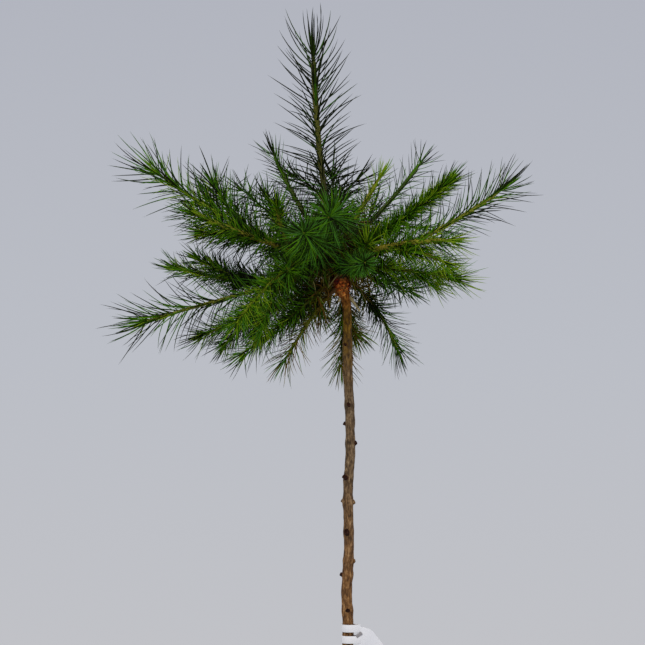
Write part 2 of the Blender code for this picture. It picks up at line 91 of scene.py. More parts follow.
# The pruned spurs that show: height above the soil, direction in degrees from the right, size, and whether
# the end is torn and dark
SEEN_SPURS = (
    (0.545, -120, 0.8, True),
    (0.533, -15, 0.7, True),
    (0.492, -98, 1.0, True),
    (0.475, 180, 1.0, True),
    (0.458, -15, 1.0, True),
    (0.428, -130, 1.3, True),
    (0.407, 176, 1.0, False),
    (0.406, 4, 1.1, False),
    (0.380, -112, 1.4, True),
    (0.354, -12, 1.0, False),
    (0.342, 180, 1.1, True),
    (0.311, -88, 1.0, True),
)
LOWEST_SPUR = 0.045
HIGHEST_PLAIN_SPUR = 0.275
SPUR_STEP = 0.027
PLAIN_SPUR_SIZE = 0.9
NODE_SWELLING = 0.0005
NODE_SPAN = 0.004
NODE_LIFT = 0.002
STEM_SIDES = 36
RING_STEP = 0.0009
GRAIN_STEP = 0.004
# A pruned spur: a stub that narrows to a lip of bark round a pit
KNOT_SIDES = 12
KNOT_RADIUS = 0.0026
KNOT_DEPTH = 0.004
KNOT_SHIFT = 0.001
KNOT_TAPER = 0.72
KNOT_BARK = 0.0006
KNOT_LIP = 0.0005
KNOT_RIM = 0.0004
KNOT_PIT = 0.0009
KNOT_RISE = 0.45
KNOT_SEAT = 0.93
KNOT_SQUASH = 0.8
TOP_FACING = 0.9

# Pot, soil and tag
POT_HEIGHT = 0.180
POT_TOP_RADIUS = 0.106
POT_FOOT_RADIUS = 0.082
RIM_WIDTH = 0.006
RIM_DEPTH = 0.014
RIM_ROUNDING = 0.0022
POT_WALL = 0.0022
POT_FLOOR = 0.003
POT_LEDGE = 0.150
POT_SIDES = 128
POT_ROUNDING = 0.0005
FOOT_RISE = 0.0012
FOOT_RING = (0.016, 0.0145)  # how far in from the pot's foot the raised middle ends and the ring begins
POT_BANDS = (0.112, 0.120)
BAND_SWELL = 0.0005
BAND_SHAPE = (  # how far up, how far out
    (-0.0016, 0),
    (-0.0008, BAND_SWELL),
    (0.0008, BAND_SWELL),
    (0.0016, 0),
)
DRAIN_HOLES = 8
DRAIN_RADIUS = 0.006
DRAIN_SIDES = 24
DRAIN_SLOPE = -0.9
SOIL_GAP = 0.0036
SOIL_FOOT = 0.0034
SOIL_WALL_HEIGHTS = (SOIL_FOOT, 0.05, 0.10)
SOIL_SHOULDER = 0.004
SOIL_DIP = 0.003
SOIL_DIP_FROM = 0.6
SOIL_RINGS = 46
SOIL_SIDES = 160
STREW_INNER = 0.013
STREW_OUTER = 0.099
STREW_TILT = 0.35
STREW_UNEVENNESS = 0.22
STREW_HEAP = 0.3
STREWN = (  # piece, shape, how many, least and most size, proportions, finish
    ("peat_crumbs", "lump", 2600, (0.0015, 0.0050), (1, 0.8, 0.6), "peat_crumb"),
    ("bark_chips", "chip", 620, (0.0030, 0.0100), (1, 0.45, 0.18), "bark_chip"),
    ("perlite_grains", "lump", 90, (0.0018, 0.0038), (1, 0.9, 0.8), "perlite"),
    ("fallen_needles", "chip", 110, (0.018, 0.032), (1, 0.035, 0.02), "fallen_needle"),
)
GRAIN_FINISHES = {  # darker and lighter colour, and how fine their pattern is
    "peat_crumb": ((28, 18, 12), (62, 44, 30), 900),
    "bark_chip": ((58, 34, 20), (116, 78, 48), 500),
    "perlite": ((190, 188, 180), (222, 221, 216), 700),
    "fallen_needle": ((112, 78, 30), (160, 124, 62), 300),
    "graft_red": ((36, 4, 3), (112, 34, 14), 450),
}
TAG_HEIGHT = 0.2923
TAG_RADIUS = 0.0063
TAG_SLACK = 0.0007
TAG_THICKNESS = 0.0005
TAG_ROUNDING = 0.00012
TAG_BAND = 0.0066
TAG_SLOT = 0.0033
TAG_DEPTH = 0.0047
TAG_LOOP_END = 0.0100
TAG_LAP = (-0.0002, 0.0004)  # how far the two ends of a band lie behind the flag's plane
TAG_LOOP_TURN = (-78, -282)
TAG_LOOP_POINTS = 30
TAG_OUTLINE = (  # right and up from the loop's middle, in the plane of the flag
    (0.0075, 0.0074),
    (0.0110, 0.0064),
    (0.0176, 0.0048),
    (0.0216, 0.0020),
    (0.0622, -0.0520),
    (0.0607, -0.0560),
    (0.0492, -0.0665),
    (0.0457, -0.0665),
    (0.0086, -0.0120),
    (0.0075, -0.0090),
)
LOCK_SIZE = (0.0062, 0.0012, 0.0030)
LOCK_PLACE = (0.0088, -TAG_DEPTH - 0.0005, -0.0006)
LOCK_LEAN = -38
LOCK_ROUNDING = 0.0005

# The limbs, by the same rule as the solids
BOUGH_BASE_RADIUS = 0.0025
TAKE_OFF_SHARE = 0.42
FORK_SHARE = 0.35
BEND_STEPS = 40
HEADING_STEPS = 50
SHOOT_STEPS = 60
BOUGH_FLARE = 1.2
BOUGH_FLARE_END = 0.004
BOUGH_RINGS = 16
BOUGH_SIDES = 12
BOUGH_OVERLAP = 0.002
FORK_GIRTH_SHARE = 0.8
FORK_TIP_SHARE = 0.9

Limb = namedtuple("Limb", "height azimuth rise bare tip needle forks")
Fork = namedtuple("Fork", "share tip")
LIMBS = {
    "leader": Limb(0.040, 90, 90, 0.014, (-0.024, 0.010, 0.203), 0.046, ()),
    "west_spire": Limb(0.034, 165, 50, 0.014, (-0.060, 0.020, 0.117), 0.024, ()),
    "east_spire": Limb(0.035, -5, 55, 0.013, (0.035, 0.000, 0.095), 0.021, ()),
    "back_high": Limb(0.034, 88, 45, 0.014, (-0.007, 0.090, 0.102), 0.036, (
        Fork(0.35, (-0.040, 0.060, 0.098)),
        Fork(0.45, (0.016, 0.065, 0.095)),
    )),
    "front_centre": Limb(0.032, -85, 42, 0.017, (-0.011, -0.125, 0.052), 0.032, ()),
    "east_dark": Limb(0.029, 42, 30, 0.015, (0.074, 0.060, 0.112), 0.026, ()),
    "back_west": Limb(0.027, 128, 20, 0.018, (-0.091, 0.110, 0.090), 0.028, (
        Fork(0.45, (-0.068, 0.095, 0.084)),
    )),
    "west_high": Limb(0.026, 180, 10, 0.018, (-0.163, 0.015, 0.099), 0.047, (
        Fork(0.28, (-0.113, 0.040, 0.088)),
    )),
    "east_mid": Limb(0.026, -28, 18, 0.015, (0.094, -0.040, 0.088), 0.025, ()),
    "front_west": Limb(0.024, -110, 14, 0.017, (-0.031, -0.135, 0.039), 0.032, ()),
    "back_east": Limb(0.022, 72, 16, 0.018, (0.034, 0.135, 0.077), 0.030, (
        Fork(0.30, (0.077, 0.110, 0.055)),
    )),
    "east_long": Limb(0.021, 6, 4, 0.018, (0.143, 0.010, 0.084), 0.040, ()),
    "west_front": Limb(0.018, -142, 12, 0.017, (-0.126, -0.060, 0.059), 0.030, (
        Fork(0.10, (-0.054, -0.075, 0.064)),
        Fork(0.42, (-0.120, -0.028, 0.044)),
    )),
    "west_mid": Limb(0.018, 157, -26, 0.018, (-0.150, 0.060, 0.016), 0.026, (
        Fork(0.35, (-0.127, 0.020, 0.023)),
    )),
    "east_front": Limb(0.018, -45, 20, 0.017, (0.091, -0.085, 0.035), 0.030, (
        Fork(0.35, (0.090, -0.062, 0.016)),
    )),
    "back_centre": Limb(0.015, 100, -2, 0.018, (-0.018, 0.150, 0.035), 0.030, (
        Fork(0.30, (-0.058, 0.130, 0.030)),
    )),
    "front_east": Limb(0.012, -76, 4, 0.017, (0.019, -0.125, 0.015), 0.015, ()),
    "west_low_long": Limb(0.013, 184, -14, 0.018, (-0.171, -0.010, -0.033), 0.042, ()),
    "back_east_low": Limb(0.012, 48, -10, 0.015, (0.065, 0.090, -0.004), 0.028, (
        Fork(0.30, (0.092, 0.070, 0.012)),
    )),
    "east_low": Limb(0.011, -18, 6, 0.015, (0.100, -0.030, 0.004), 0.030, ()),
    "front_low_west": Limb(0.011, -125, 40, 0.017, (-0.088, -0.095, -0.034), 0.032, (
        Fork(0.30, (-0.070, -0.060, -0.045)),
    )),
    "back_low_west": Limb(0.008, 122, -24, 0.014, (-0.040, 0.080, -0.030), 0.028, (
        Fork(0.25, (-0.073, 0.070, -0.026)),
        Fork(0.20, (-0.016, 0.060, -0.028)),
    )),
    "west_low_short": Limb(0.006, 168, -26, 0.015, (-0.122, 0.010, -0.045), 0.028, (
        Fork(0.40, (-0.104, 0.032, -0.054)),
    )),
    "low_front": Limb(0.004, -146, -36, 0.015, (-0.084, -0.050, -0.061), 0.028, (
        Fork(0.25, (-0.060, -0.030, -0.045)),
    )),
    "droop_east": Limb(0.003, 14, -34, 0.012, (0.051, 0.020, -0.058), 0.028, ()),
    "droop_back": Limb(0.002, 84, -30, 0.011, (0.001, 0.045, -0.073), 0.028, (
        Fork(0.25, (0.016, 0.056, -0.045)),
    )),
    "droop_west": Limb(-0.003, 203, -44, 0.011, (-0.049, -0.005, -0.068), 0.026, ()),
}

# Needles: a close spiral on the young shoots, and tufts of shorter ones on the older wood
NEEDLE_WIDTH_SHARE = 1 / 32
LEAST_WIDTH = 0.0009
NEEDLE_STEP_SHARE = 1 / 52
NEEDLE_FLATNESS = 0.65
NEEDLE_RINGS = 6
NEEDLE_PROFILE = (0.75, 1.0, 1.0, 0.92, 0.76, 0.50)
# How far the needles open: distance from the shoot's tip, then degrees off the shoot at the needle's root and
# at its point
NEEDLE_SPREAD = (
    (0.000, 30, 26),
    (0.004, 40, 38),
    (0.010, 46, 50),
    (0.018, 48, 60),
    (0.030, 49, 66),
    (0.060, 52, 71),
    (0.085, 60, 82),
    (0.110, 74, 96),
    (0.200, 84, 100),
)
LEADER_SPREAD = (  # the same for the upright leader, whose top needles arch upwards
    (0.000, 28, 4),
    (0.006, 46, 12),
    (0.014, 54, 22),
    (0.025, 55, 34),
    (0.045, 52, 54),
    (0.070, 51, 64),
    (0.100, 57, 74),
    (0.130, 68, 86),
    (0.200, 84, 100),
)
SIDE_SPREAD = (  # the same for the shoots to the sides, whose needles lean forwards
    (0.000, 28, 18),
    (0.004, 35, 26),
    (0.010, 39, 35),
    (0.018, 41, 44),
    (0.030, 43, 52),
    (0.060, 47, 62),
    (0.085, 55, 74),
    (0.110, 70, 90),
    (0.200, 82, 98),
)
SPRAY_SPREADS = {"leader": LEADER_SPREAD, "side": SIDE_SPREAD, "bright": SIDE_SPREAD, "light": SIDE_SPREAD}
SPREAD_SCATTER = 9
SKEW_WAY = (0.31, 0.17, 0.93)  # no line runs this way
LEAST_OPENING = 2
TURN_SCATTER = 0.2
NEEDLE_SIZES = (0.74, 1.10)
TIP_NEEDLES = 9
TIP_REACH = 0.002
TIP_SCATTER = 26
BOWING = 0.13
RISING = 0.08
ROOT_OFFSET = 0.0007
TUFT_STEP = 0.0050
TUFT_START_SHARE = 0.6
TUFT_NEEDLES = 12
TUFT_LENGTH = 0.025
TUFT_SIZES = (0.7, 1.1)
TUFT_OPENING = (12, 68)
TUFT_LEAN = 0.5
TUFT_OVERLAP = 0.012
TUFT_TONE_SHARE = 0.5
FORK_NEEDLE_SHARE = 0.85
FLEECE_SHARE = 0.58

# Side twigs: short shoots along the inner part of some limbs
TWIG_SPRAYS = {  # the limbs with side twigs, and the needle colours of those twigs
    "front_centre": "front",
    "west_high": "dark",
    "front_west": "front",
    "west_mid": "dark",
    "east_front": "bright",
    "front_east": "front",
    "east_low": "bright",
    "front_low_west": "front",
    "west_low_short": "side",
    "droop_east": "dark",
    "droop_back": "low",
}
TWIG_START = 0.010
TWIG_SPACING = 0.036
TWIG_LENGTH = 0.022
TWIG_SIZES = (0.7, 1.2)
TWIG_SPREAD = 42
TWIG_SCATTER = 8
TWIG_LEAN = 0.5
TWIG_RISE = 0.2
TWIG_NEEDLE_SHARE = 0.75
TWIG_ROOM = 0.60
TWIG_RADIUS = 0.0007
TWIG_TIP_SHARE = 0.8

# The wood of shoots and twigs: knobbly with leaf bases, and thinner at the tip
WOOD_STEP = 0.0010
LEAST_RINGS = 14
LEAF_BASE_SWELL = 0.12
LEAF_BASE_TURN = 2.4
THINNING_REACH = 0.010
THINNEST_SHARE = 0.35
SHOOT_SIDES = 10
FORK_SIDES = 8
TWIG_SIDES = 6
YOUNG_BARK_REACH = 0.16

# Colours of the needles, as red, green and blue from 0 to 255
NEEDLE_TONES = {
    # The first tone is painted shade, for needles in the crown's shade and backlit ones; the dark tone is
    # partly darker green needles and partly painted shade.
    "needle_painted_shade": (20, 28, 4),
    "needle_dark": (34, 56, 2),
    "needle_deep": (50, 94, 2),
    "needle_fresh": (84, 136, 12),
    "needle_cool": (68, 120, 36),
    "needle_young": (134, 164, 26),
    "needle_olive": (92, 90, 8),
    "needle_brown": (112, 82, 30),
    "needle_straw": (150, 142, 84),
}
TONE_NAMES = tuple(NEEDLE_TONES)
# How many of a spray's needles take each tone, as parts of their sum, in the order of NEEDLE_TONES
SPRAY_TONES = {
    # The leader and dark sprays take mostly the painted shade and dark tones: painted shade of backlit
    # needles and of the back of the crown.
    "leader": (7, 3, 1, 0, 0, 0, 0, 0, 0),
    "dark": (5, 4, 1, 0, 0, 0, 0, 0, 0),
    "rear": (1, 2, 4, 3, 0, 0, 0, 0, 0),
    "side": (3, 3, 2, 3, 0, 0, 0, 0, 0),
    "front": (3, 2, 1, 2, 3, 0, 0, 0, 0),
    "bright": (1, 1, 2, 5, 0, 1, 0, 0, 0),
    "light": (0, 1, 2, 3, 0, 4, 0, 0, 0),
    "low": (1, 1, 1, 2, 1, 0, 3, 2, 2),
    "tuft": (2, 1, 0, 0, 0, 0, 4, 4, 2),
}
SPRAY_BREADTHS = {"leader": 1.15, "front": 0.68, "dark": 1.25, "rear": 1.15}
FLEECE_SPRAYS = {"side": "bright", "front": "bright"}
OUTER_TONES = {  # the tone of a needle's outer part, where it differs from that of its foot
    "needle_dark": "needle_painted_shade",
    "needle_deep": "needle_dark",
    "needle_fresh": "needle_deep",
    "needle_young": "needle_fresh",
    "needle_olive": "needle_dark",
    "needle_brown": "needle_olive",
    "needle_straw": "needle_brown",
}
OUTER_SHARE = 0.5
EVEN_SPRAYS = ("front", "light", "bright", "low", "tuft")
SPRAY_LIFTS = {"low": -0.30, "tuft": -0.60}
SHOOT_WOODS = {  # the wood's radius at its root and tip, then its colour near the head and near the tip
    # The leader's colour near the head, almost black, is painted shade under the crown.
    "leader": (0.0027, 0.0025, (30, 27, 10), (80, 82, 17)),
    "stout": (0.0021, 0.0018, (60, 56, 14), (64, 92, 14)),
    "spring": (0.0022, 0.0019, (122, 108, 26), (132, 146, 24)),
    "thin": (0.0010, 0.0007, (40, 36, 12), (40, 50, 10)),
    "green": (0.0012, 0.0008, (84, 84, 16), (66, 100, 12)),
    "lime": (0.0016, 0.0012, (112, 108, 26), (126, 144, 26)),
    "ochre": (0.0018, 0.0013, (130, 112, 34), (118, 124, 30)),
    "gold": (0.0023, 0.0018, (176, 154, 50), (132, 138, 36)),
}
Look = namedtuple("Look", "spray wood crowd tangle fleece")
# Each limb's needle colours, its kind of wood, how crowded and how tangled its needles are, and how thick the
# short ones under them stand
LOOKS = {
    "leader": Look("leader", "leader", 0.92, 0.55, 0.0),
    "west_spire": Look("side", "stout", 0.64, 0.9, 0.0),
    "east_spire": Look("light", "spring", 0.60, 0.9, 0.0),
    "back_high": Look("dark", "thin", 0.56, 1.6, 0.0),
    "front_centre": Look("front", "green", 1.80, 0.9, 0.0),
    "east_dark": Look("side", "stout", 0.45, 0.8, 0.0),
    "back_west": Look("rear", "thin", 0.60, 1.2, 0.0),
    "west_high": Look("side", "lime", 0.72, 1.1, 1.2),
    "east_mid": Look("side", "green", 0.70, 0.8, 4.6),
    "front_west": Look("front", "green", 1.75, 0.9, 0.0),
    "back_east": Look("rear", "thin", 0.46, 1.2, 0.0),
    "east_long": Look("side", "gold", 0.88, 0.7, 0.2),
    "west_front": Look("side", "gold", 0.80, 1.0, 1.2),
    "west_mid": Look("side", "lime", 0.76, 0.9, 1.0),
    "east_front": Look("bright", "gold", 0.92, 1.0, 0.3),
    "back_centre": Look("rear", "thin", 0.45, 1.3, 0.0),
    "front_east": Look("front", "green", 1.70, 0.9, 0.0),
    "west_low_long": Look("side", "ochre", 0.86, 0.9, 0.2),
    "back_east_low": Look("rear", "thin", 0.75, 1.1, 0.0),
    "east_low": Look("bright", "lime", 0.92, 0.8, 1.0),
    "front_low_west": Look("front", "lime", 1.12, 1.0, 1.7),
    "back_low_west": Look("low", "thin", 0.95, 1.0, 0.0),
    "west_low_short": Look("side", "lime", 0.92, 0.9, 0.8),
    "low_front": Look("side", "green", 0.58, 0.9, 0.6),
    "droop_east": Look("side", "lime", 0.98, 0.8, 0.0),
    "droop_back": Look("low", "thin", 1.05, 0.8, 0.0),
    "droop_west": Look("low", "lime", 0.85, 0.8, 0.0),
}
BUD_RINGS = (  # how far past the shoot's tip, radius
    (-0.0008, 0.0004),
    (0.0002, 0.0007),
    (0.0010, 0.0006),
    (0.0018, 0.0002),
)
BUD_SIDES = 8
YOUNG_SHARE = 0.65
YOUNG_CHANCE = 0.35
YOUNG_SPRAYS = ("light", "bright")
# Near the head some needles take the painted shade tone: painted shade of the inner crown.
PAINTED_SHADE_SHARE = 0.20
PAINTED_SHADE_CHANCE = 0.40

# The graft: a ridged collar with knobs, flakes and dry strips of bark
COLLAR_BELOW = 0.012
COLLAR_ABOVE = 0.0135
COLLAR_STEP = 0.0005
COLLAR_SIDES = 40
COLLAR_INSET = 0.0007
RIDGE_HEIGHT = 0.0010
RIDGE_TURNS = 900
FLAKE_COUNT = 130
FLAKES_BELOW = 0.011
FLAKES_ABOVE = 0.013
FLAKE_LENGTHS = (0.0015, 0.0038)
FLAKE_WIDTHS = (0.3, 0.6)  # as shares of its length
FLAKE_LEANS = ((-0.4, 1.0), (0.1, 1.0), (-1, 1))  # least and most: upwards, outwards and sideways
FLAKE_THICKNESS = 0.00012
FLAKE_CURL = 0.10
FLAKE_STEPS = 3
FLAKE_TAPER = 0.2
FLAKE_TILT = 0.01
FLAKE_SEAT = 0.0002
HUSK_SEAT = 0.0004
# Dry strips of bark: height above the soil, direction in degrees from the right, how far out, how far down,
# length and width
PALE_HUSKS = (
    (0.5900, -20, 0.62, 0.78, 0.0180, 0.0030),
    (0.5890, 205, 0.35, 0.94, 0.0050, 0.0020),
    (0.6030, 35, 0.50, 0.60, 0.0080, 0.0020),
    (0.5920, 120, 0.50, 0.80, 0.0100, 0.0022),
)
GOLD_HUSKS = (
    (0.5975, -162, 0.90, 0.40, 0.0046, 0.0026),
    (0.5950, -148, 0.75, 0.65, 0.0046, 0.0024),
    (0.5925, -160, 0.60, 0.80, 0.0040, 0.0022),
    (0.5960, 60, 0.80, 0.50, 0.0044, 0.0024),
)
GRAFT_KNOBS = (  # height above the soil, direction in degrees from the right, size
    (0.6005, -128, 1.7),
    (0.5975, 10, 1.2),
    (0.6020, 110, 1.5),
)

# The needles keep out of the stem and out of the view of the graft
CLEAR_FROM = 0.44
CLEAR_RINGS = 60
CLEAR_SHARES = (0.35, 0.55, 0.75, 1.0)
STEM_CLEARANCE = 0.0015
GRAFT_VIEW = 0.008
GRAFT_TOP = 0.003

# Floor, surround, lights and camera
FLOOR_RADIUS = 1.1
FLOOR_DROP = 0.0004
FLOOR_SIDES = 128
SURROUND_REACH = 0.16
SURROUND_STOPS = (  # how far up, then red, green and blue
    (0.00, 193, 194, 199),
    (0.45, 187, 190, 198),
    (1.00, 178, 181, 191),
)
LIGHTS = (  # name, place, size, power
    ("key", (-0.9, -1.6, 2.2), 1.2, 22),
    ("fill", (1.5, -1.2, 1.2), 1.2, 8),
    ("back", (0.3, 1.6, 1.9), 1.0, 6),
)
LIGHT_COLOUR = (1.0, 0.95, 0.86)
LIGHT_AIM = (0, 0, 0.75)
CAMERA_PLACE = (-0.0216, -1.8, 0.726)
CAMERA_SENSOR = 36
PICTURE_WIDTH = 645
PIXEL = 0.00088  # metres across, at the stem
CAMERA_NEAREST = 0.05

OUTER_PICKS = np.array([TONE_NAMES.index(OUTER_TONES.get(name, name)) for name in TONE_NAMES])
chance = np.random.default_rng(SEED)


def tone(red, green, blue):
    """A picture colour, 0 to 255, as the linear colour that a shader takes."""
    shares = [value / 255 for value in (red, green, blue)]
    return tuple(s / 12.92 if s <= 0.04045 else ((s + 0.055) / 1.055) ** 2.4 for s in shares)


class Line:
    """A smooth line through space, read by the distance along it."""

    def __init__(self, points):
        self.points = np.array(points, float)
        steps = np.linalg.norm(np.diff(self.points, axis=0), axis=1)
        self.marks = np.concatenate([[0.0], np.cumsum(steps)])
        self.length = float(self.marks[-1])

    def at(self, distance):
        axes = [np.interp(distance, self.marks, self.points[:, k]) for k in range(3)]
        return np.stack(axes, axis=-1)

    def heading(self, distance):
        step = self.length / HEADING_STEPS
        ahead = self.at(np.minimum(distance + step, self.length))
        behind = self.at(np.maximum(np.asarray(distance) - step, 0.0))
        return unit(ahead - behind)


def unit(vectors):
    return vectors / np.linalg.norm(vectors, axis=-1, keepdims=True)


def bend(start, control, end):
    """A line from start to end that sets off towards the control point."""
    t = np.linspace(0, 1, BEND_STEPS + 1)[:, None]
    return Line(start * (1 - t) ** 2 + control * 2 * t * (1 - t) + end * t * t)


def smooth_value(stations, height):
    """Reads a table of (height, value, ...) rows with a smooth curve between the rows."""
    rows = np.array(stations)
    i = int(np.clip(np.searchsorted(rows[:, 0], height) - 1, 0, len(rows) - 2))
    gap = rows[i + 1, 0] - rows[i, 0]
    t = (height - rows[i, 0]) / gap
    slopes = np.gradient(rows[:, 1:], rows[:, 0], axis=0)
    a, b = rows[i, 1:], rows[i + 1, 1:]
    return (
        a * (2 * t**3 - 3 * t**2 + 1)
        + slopes[i] * gap * (t**3 - 2 * t**2 + t)
        + b * (3 * t**2 - 2 * t**3)
        + slopes[i + 1] * gap * (t**3 - t**2)
    )


def stem_centre(height):
    right, back = smooth_value(STEM_LINE, height)
    return np.array([right, back, SOIL_LEVEL + height])


def stem_radius(height):
    heights, radii = zip(*STEM_GIRTH)
    return float(np.interp(height, heights, radii))


def limb_line(limb):
    """The whole line of a limb, from the head's surface to its shoot's tip."""
    height = STEM_HEIGHT + limb.height
    tip = stem_centre(STEM_HEIGHT) + np.array(limb.tip)
    grain = unit(stem_centre(height) - stem_centre(height - GRAIN_STEP))
    if limb.rise == 90:
        root = stem_centre(height)
        leaving = grain
    else:
        azimuth, rise = math.radians(limb.azimuth), math.radians(limb.rise)
        outward = np.array([math.cos(azimuth), math.sin(azimuth), 0.0])
        leaving = outward * math.cos(rise) + UP * math.sin(rise)
        square = unit(outward - grain * outward.dot(grain))
        root = stem_centre(height) + square * stem_radius(height)
    control = root + leaving * np.linalg.norm(tip - root) * TAKE_OFF_SHARE
    return bend(root, control, tip)


def shoot_lines(limb):
    """The needled lines of a limb: its own shoot past the bare stretch, then each fork off that shoot."""
    whole = limb_line(limb)
    shoot = Line(whole.at(np.linspace(limb.bare, whole.length, SHOOT_STEPS)))
    lines = [shoot]
    for fork in limb.forks:
        distance = fork.share * shoot.length
        root = shoot.at(distance)
        tip = stem_centre(STEM_HEIGHT) + np.array(fork.tip)
        reach = np.linalg.norm(tip - root)
        lines.append(bend(root, root + shoot.heading(distance) * reach * FORK_SHARE, tip))
    return lines


def spur_places():
    """Height, azimuth, size and kind of every pruned side spur on the stem."""
    places = list(SEEN_SPURS)
    count = int((HIGHEST_PLAIN_SPUR - LOWEST_SPUR) / SPUR_STEP) + 1
    for i in range(count):
        places.append((LOWEST_SPUR + i * SPUR_STEP, math.degrees(i * GOLDEN_ANGLE), PLAIN_SPUR_SIZE, True))
    return places


# Materials


def plain(name, colour, roughness, specular=0.5):
    """A plain finish. Its colour is a picture colour, as in every ramp."""
    made = bpy.data.materials.new(name)
    made.use_nodes = True
    shader = made.node_tree.nodes["Principled BSDF"]
    shader.inputs["Base Color"].default_value = (*tone(*colour), 1)
    shader.inputs["Roughness"].default_value = roughness
    shader.inputs["Specular IOR Level"].default_value = specular
    return made


class Pattern:
    """A short way to add and join the nodes of one finish, or of the surround."""

    def __init__(self, owner, shader="Principled BSDF", coordinates="Object"):
        self.tree = owner.node_tree
        self.shader = self.tree.nodes[shader]
        self.place = self.tree.nodes.new("ShaderNodeTexCoord").outputs[coordinates]

    def link(self, output, target):
        self.tree.links.new(output, target)

    def node(self, kind, numbers=(), vector=None):
        """A new node with the numbers set by the names of their inputs, and the vector linked."""
        made = self.tree.nodes.new("ShaderNode" + kind)
        for name, number in numbers:
            made.inputs[name].default_value = number
        if vector:
            self.link(vector, made.inputs["Vector"])
        return made

    def scaled(self, scale):
        return self.node("Mapping", [("Scale", scale)], self.place).outputs["Vector"]

    def noise(self, scale, detail=4.0, where=None, roughness=0.55):
        numbers = (("Scale", scale), ("Detail", detail), ("Roughness", roughness))
        return self.node("TexNoise", numbers, where or self.place).outputs["Fac"]

    def ramp(self, value, stops):
        node = self.node("ValToRGB")
        ends = node.color_ramp.elements
        while len(ends) < len(stops):
            ends.new(0.5)
        for end, (position, *colour) in zip(ends, stops):
            end.position = position
            end.color = (*tone(*colour), 1)
        self.link(value, node.inputs["Fac"])
        return node.outputs["Color"]

    def mix(self, share, first, second, how="MIX"):
        node = self.node("Mix")
        node.data_type = "RGBA"
        node.blend_type = how
        # Inputs 6 and 7 and output 2 are the ones for colours
        for value, socket in ((share, node.inputs[0]), (first, node.inputs[6]), (second, node.inputs[7])):
            if isinstance(value, bpy.types.NodeSocket):
                self.link(value, socket)
            else:
                socket.default_value = value
        return node.outputs[2]

    def span(self, value, low, high, new_low=0.0, new_high=1.0):
        numbers = (("From Min", low), ("From Max", high), ("To Min", new_low), ("To Max", new_high))
        node = self.node("MapRange", numbers)
        self.link(value, node.inputs["Value"])
        return node.outputs["Result"]

    def axis(self, letter):
        return self.node("SeparateXYZ", (), self.place).outputs[letter]

    def distance_from(self, point):
        node = self.node("VectorMath")
        node.operation = "DISTANCE"
        self.link(self.place, node.inputs[0])
        node.inputs[1].default_value = point
        return node.outputs["Value"]

    def times(self, colour, factor):
        """A colour made darker or lighter by a factor."""
        node = self.node("VectorMath")
        node.operation = "SCALE"
        self.link(colour, node.inputs[0])
        self.link(factor, node.inputs["Scale"])
        return node.outputs["Vector"]

    def bump(self, height, distance):
        node = self.node("Bump", [("Distance", distance)])
        self.link(height, node.inputs["Height"])
        self.link(node.outputs["Normal"], self.shader.inputs["Normal"])

    def colour(self, output):
        self.link(output, self.shader.inputs["Base Color"])

    def roughness(self, output):
        self.link(output, self.shader.inputs["Roughness"])


def stem_bark():
    """Grey-brown bark with upright streaks and pale flecks: browner low down, then olive, then orange."""
    made = plain("stem_bark", (100, 78, 52), roughness=0.85, specular=0.25)
    p = Pattern(made)
    upright = p.scaled((1, 1, 0.30))
    streaks = p.noise(560, 6, upright, 0.72)
    grey = ((0.34, 48, 36, 25), (0.46, 96, 77, 55), (0.56, 130, 108, 80), (0.68, 180, 160, 130))
    brown = ((0.34, 52, 32, 17), (0.46, 110, 76, 43), (0.56, 148, 107, 64), (0.68, 196, 160, 114))
    olive = ((0.34, 48, 30, 4), (0.50, 108, 78, 14), (0.66, 152, 118, 36))
    orange = ((0.36, 70, 32, 8), (0.50, 140, 82, 24), (0.64, 186, 124, 56))
    height = p.axis("Z")
    colour = p.ramp(streaks, brown)
    zones = (
        (0.34, 0.44, p.ramp(streaks, grey)),
        (0.50, 0.56, p.ramp(p.noise(420, 5, p.scaled((1, 1, 0.4))), olive)),
        (0.570, 0.588, p.ramp(p.noise(520, 5, p.scaled((1, 1, 0.5))), orange)),
    )
    for low, high, above in zones:
        colour = p.mix(p.span(height, SOIL_LEVEL + low, SOIL_LEVEL + high), colour, above)
    blotches = p.ramp(p.noise(95, 3), ((0.38, 196, 190, 184), (0.62, 255, 250, 244)))
    p.colour(p.mix(0.8, colour, blotches, "MULTIPLY"))
    p.roughness(p.span(p.noise(300, 3), 0.3, 0.7, 0.72, 0.95))
    p.bump(p.noise(900, 4, upright), 0.0006)
    return made


def graft_bark_and_painted_shade():
    """The flaky bark of the graft: dark red in hollows, orange and gold on ridges, and above the union a dark
    brown that is painted shade under the crown.
    """
    made = plain("graft_bark_and_painted_shade", (150, 84, 36), roughness=0.8, specular=0.25)
    p = Pattern(made)
    flaky = p.noise(330, 5, roughness=0.66)
    orange = ((0.36, 56, 12, 4), (0.46, 156, 56, 13), (0.54, 228, 122, 38), (0.64, 248, 184, 92))
    # The dark ramp above the union is painted shade under the crown.
    dark = ((0.36, 22, 12, 6), (0.50, 58, 36, 14), (0.66, 112, 76, 34))
    union = SOIL_LEVEL + STEM_HEIGHT
    above = p.span(p.axis("Z"), union + 0.001, union + 0.005)
    p.colour(p.mix(above, p.ramp(flaky, orange), p.ramp(flaky, dark)))
    p.bump(p.noise(900, 4), 0.0006)
    return made


def knot_bark():
    """The dark, torn wood of a pruned spur's end."""
    made = plain("knot_bark", (34, 16, 12), roughness=0.9, specular=0.2)
    p = Pattern(made)
    p.colour(p.ramp(p.noise(700, 4), ((0.36, 16, 6, 5), (0.64, 66, 34, 20))))
    p.bump(p.noise(1200, 4), 0.0003)
    return made


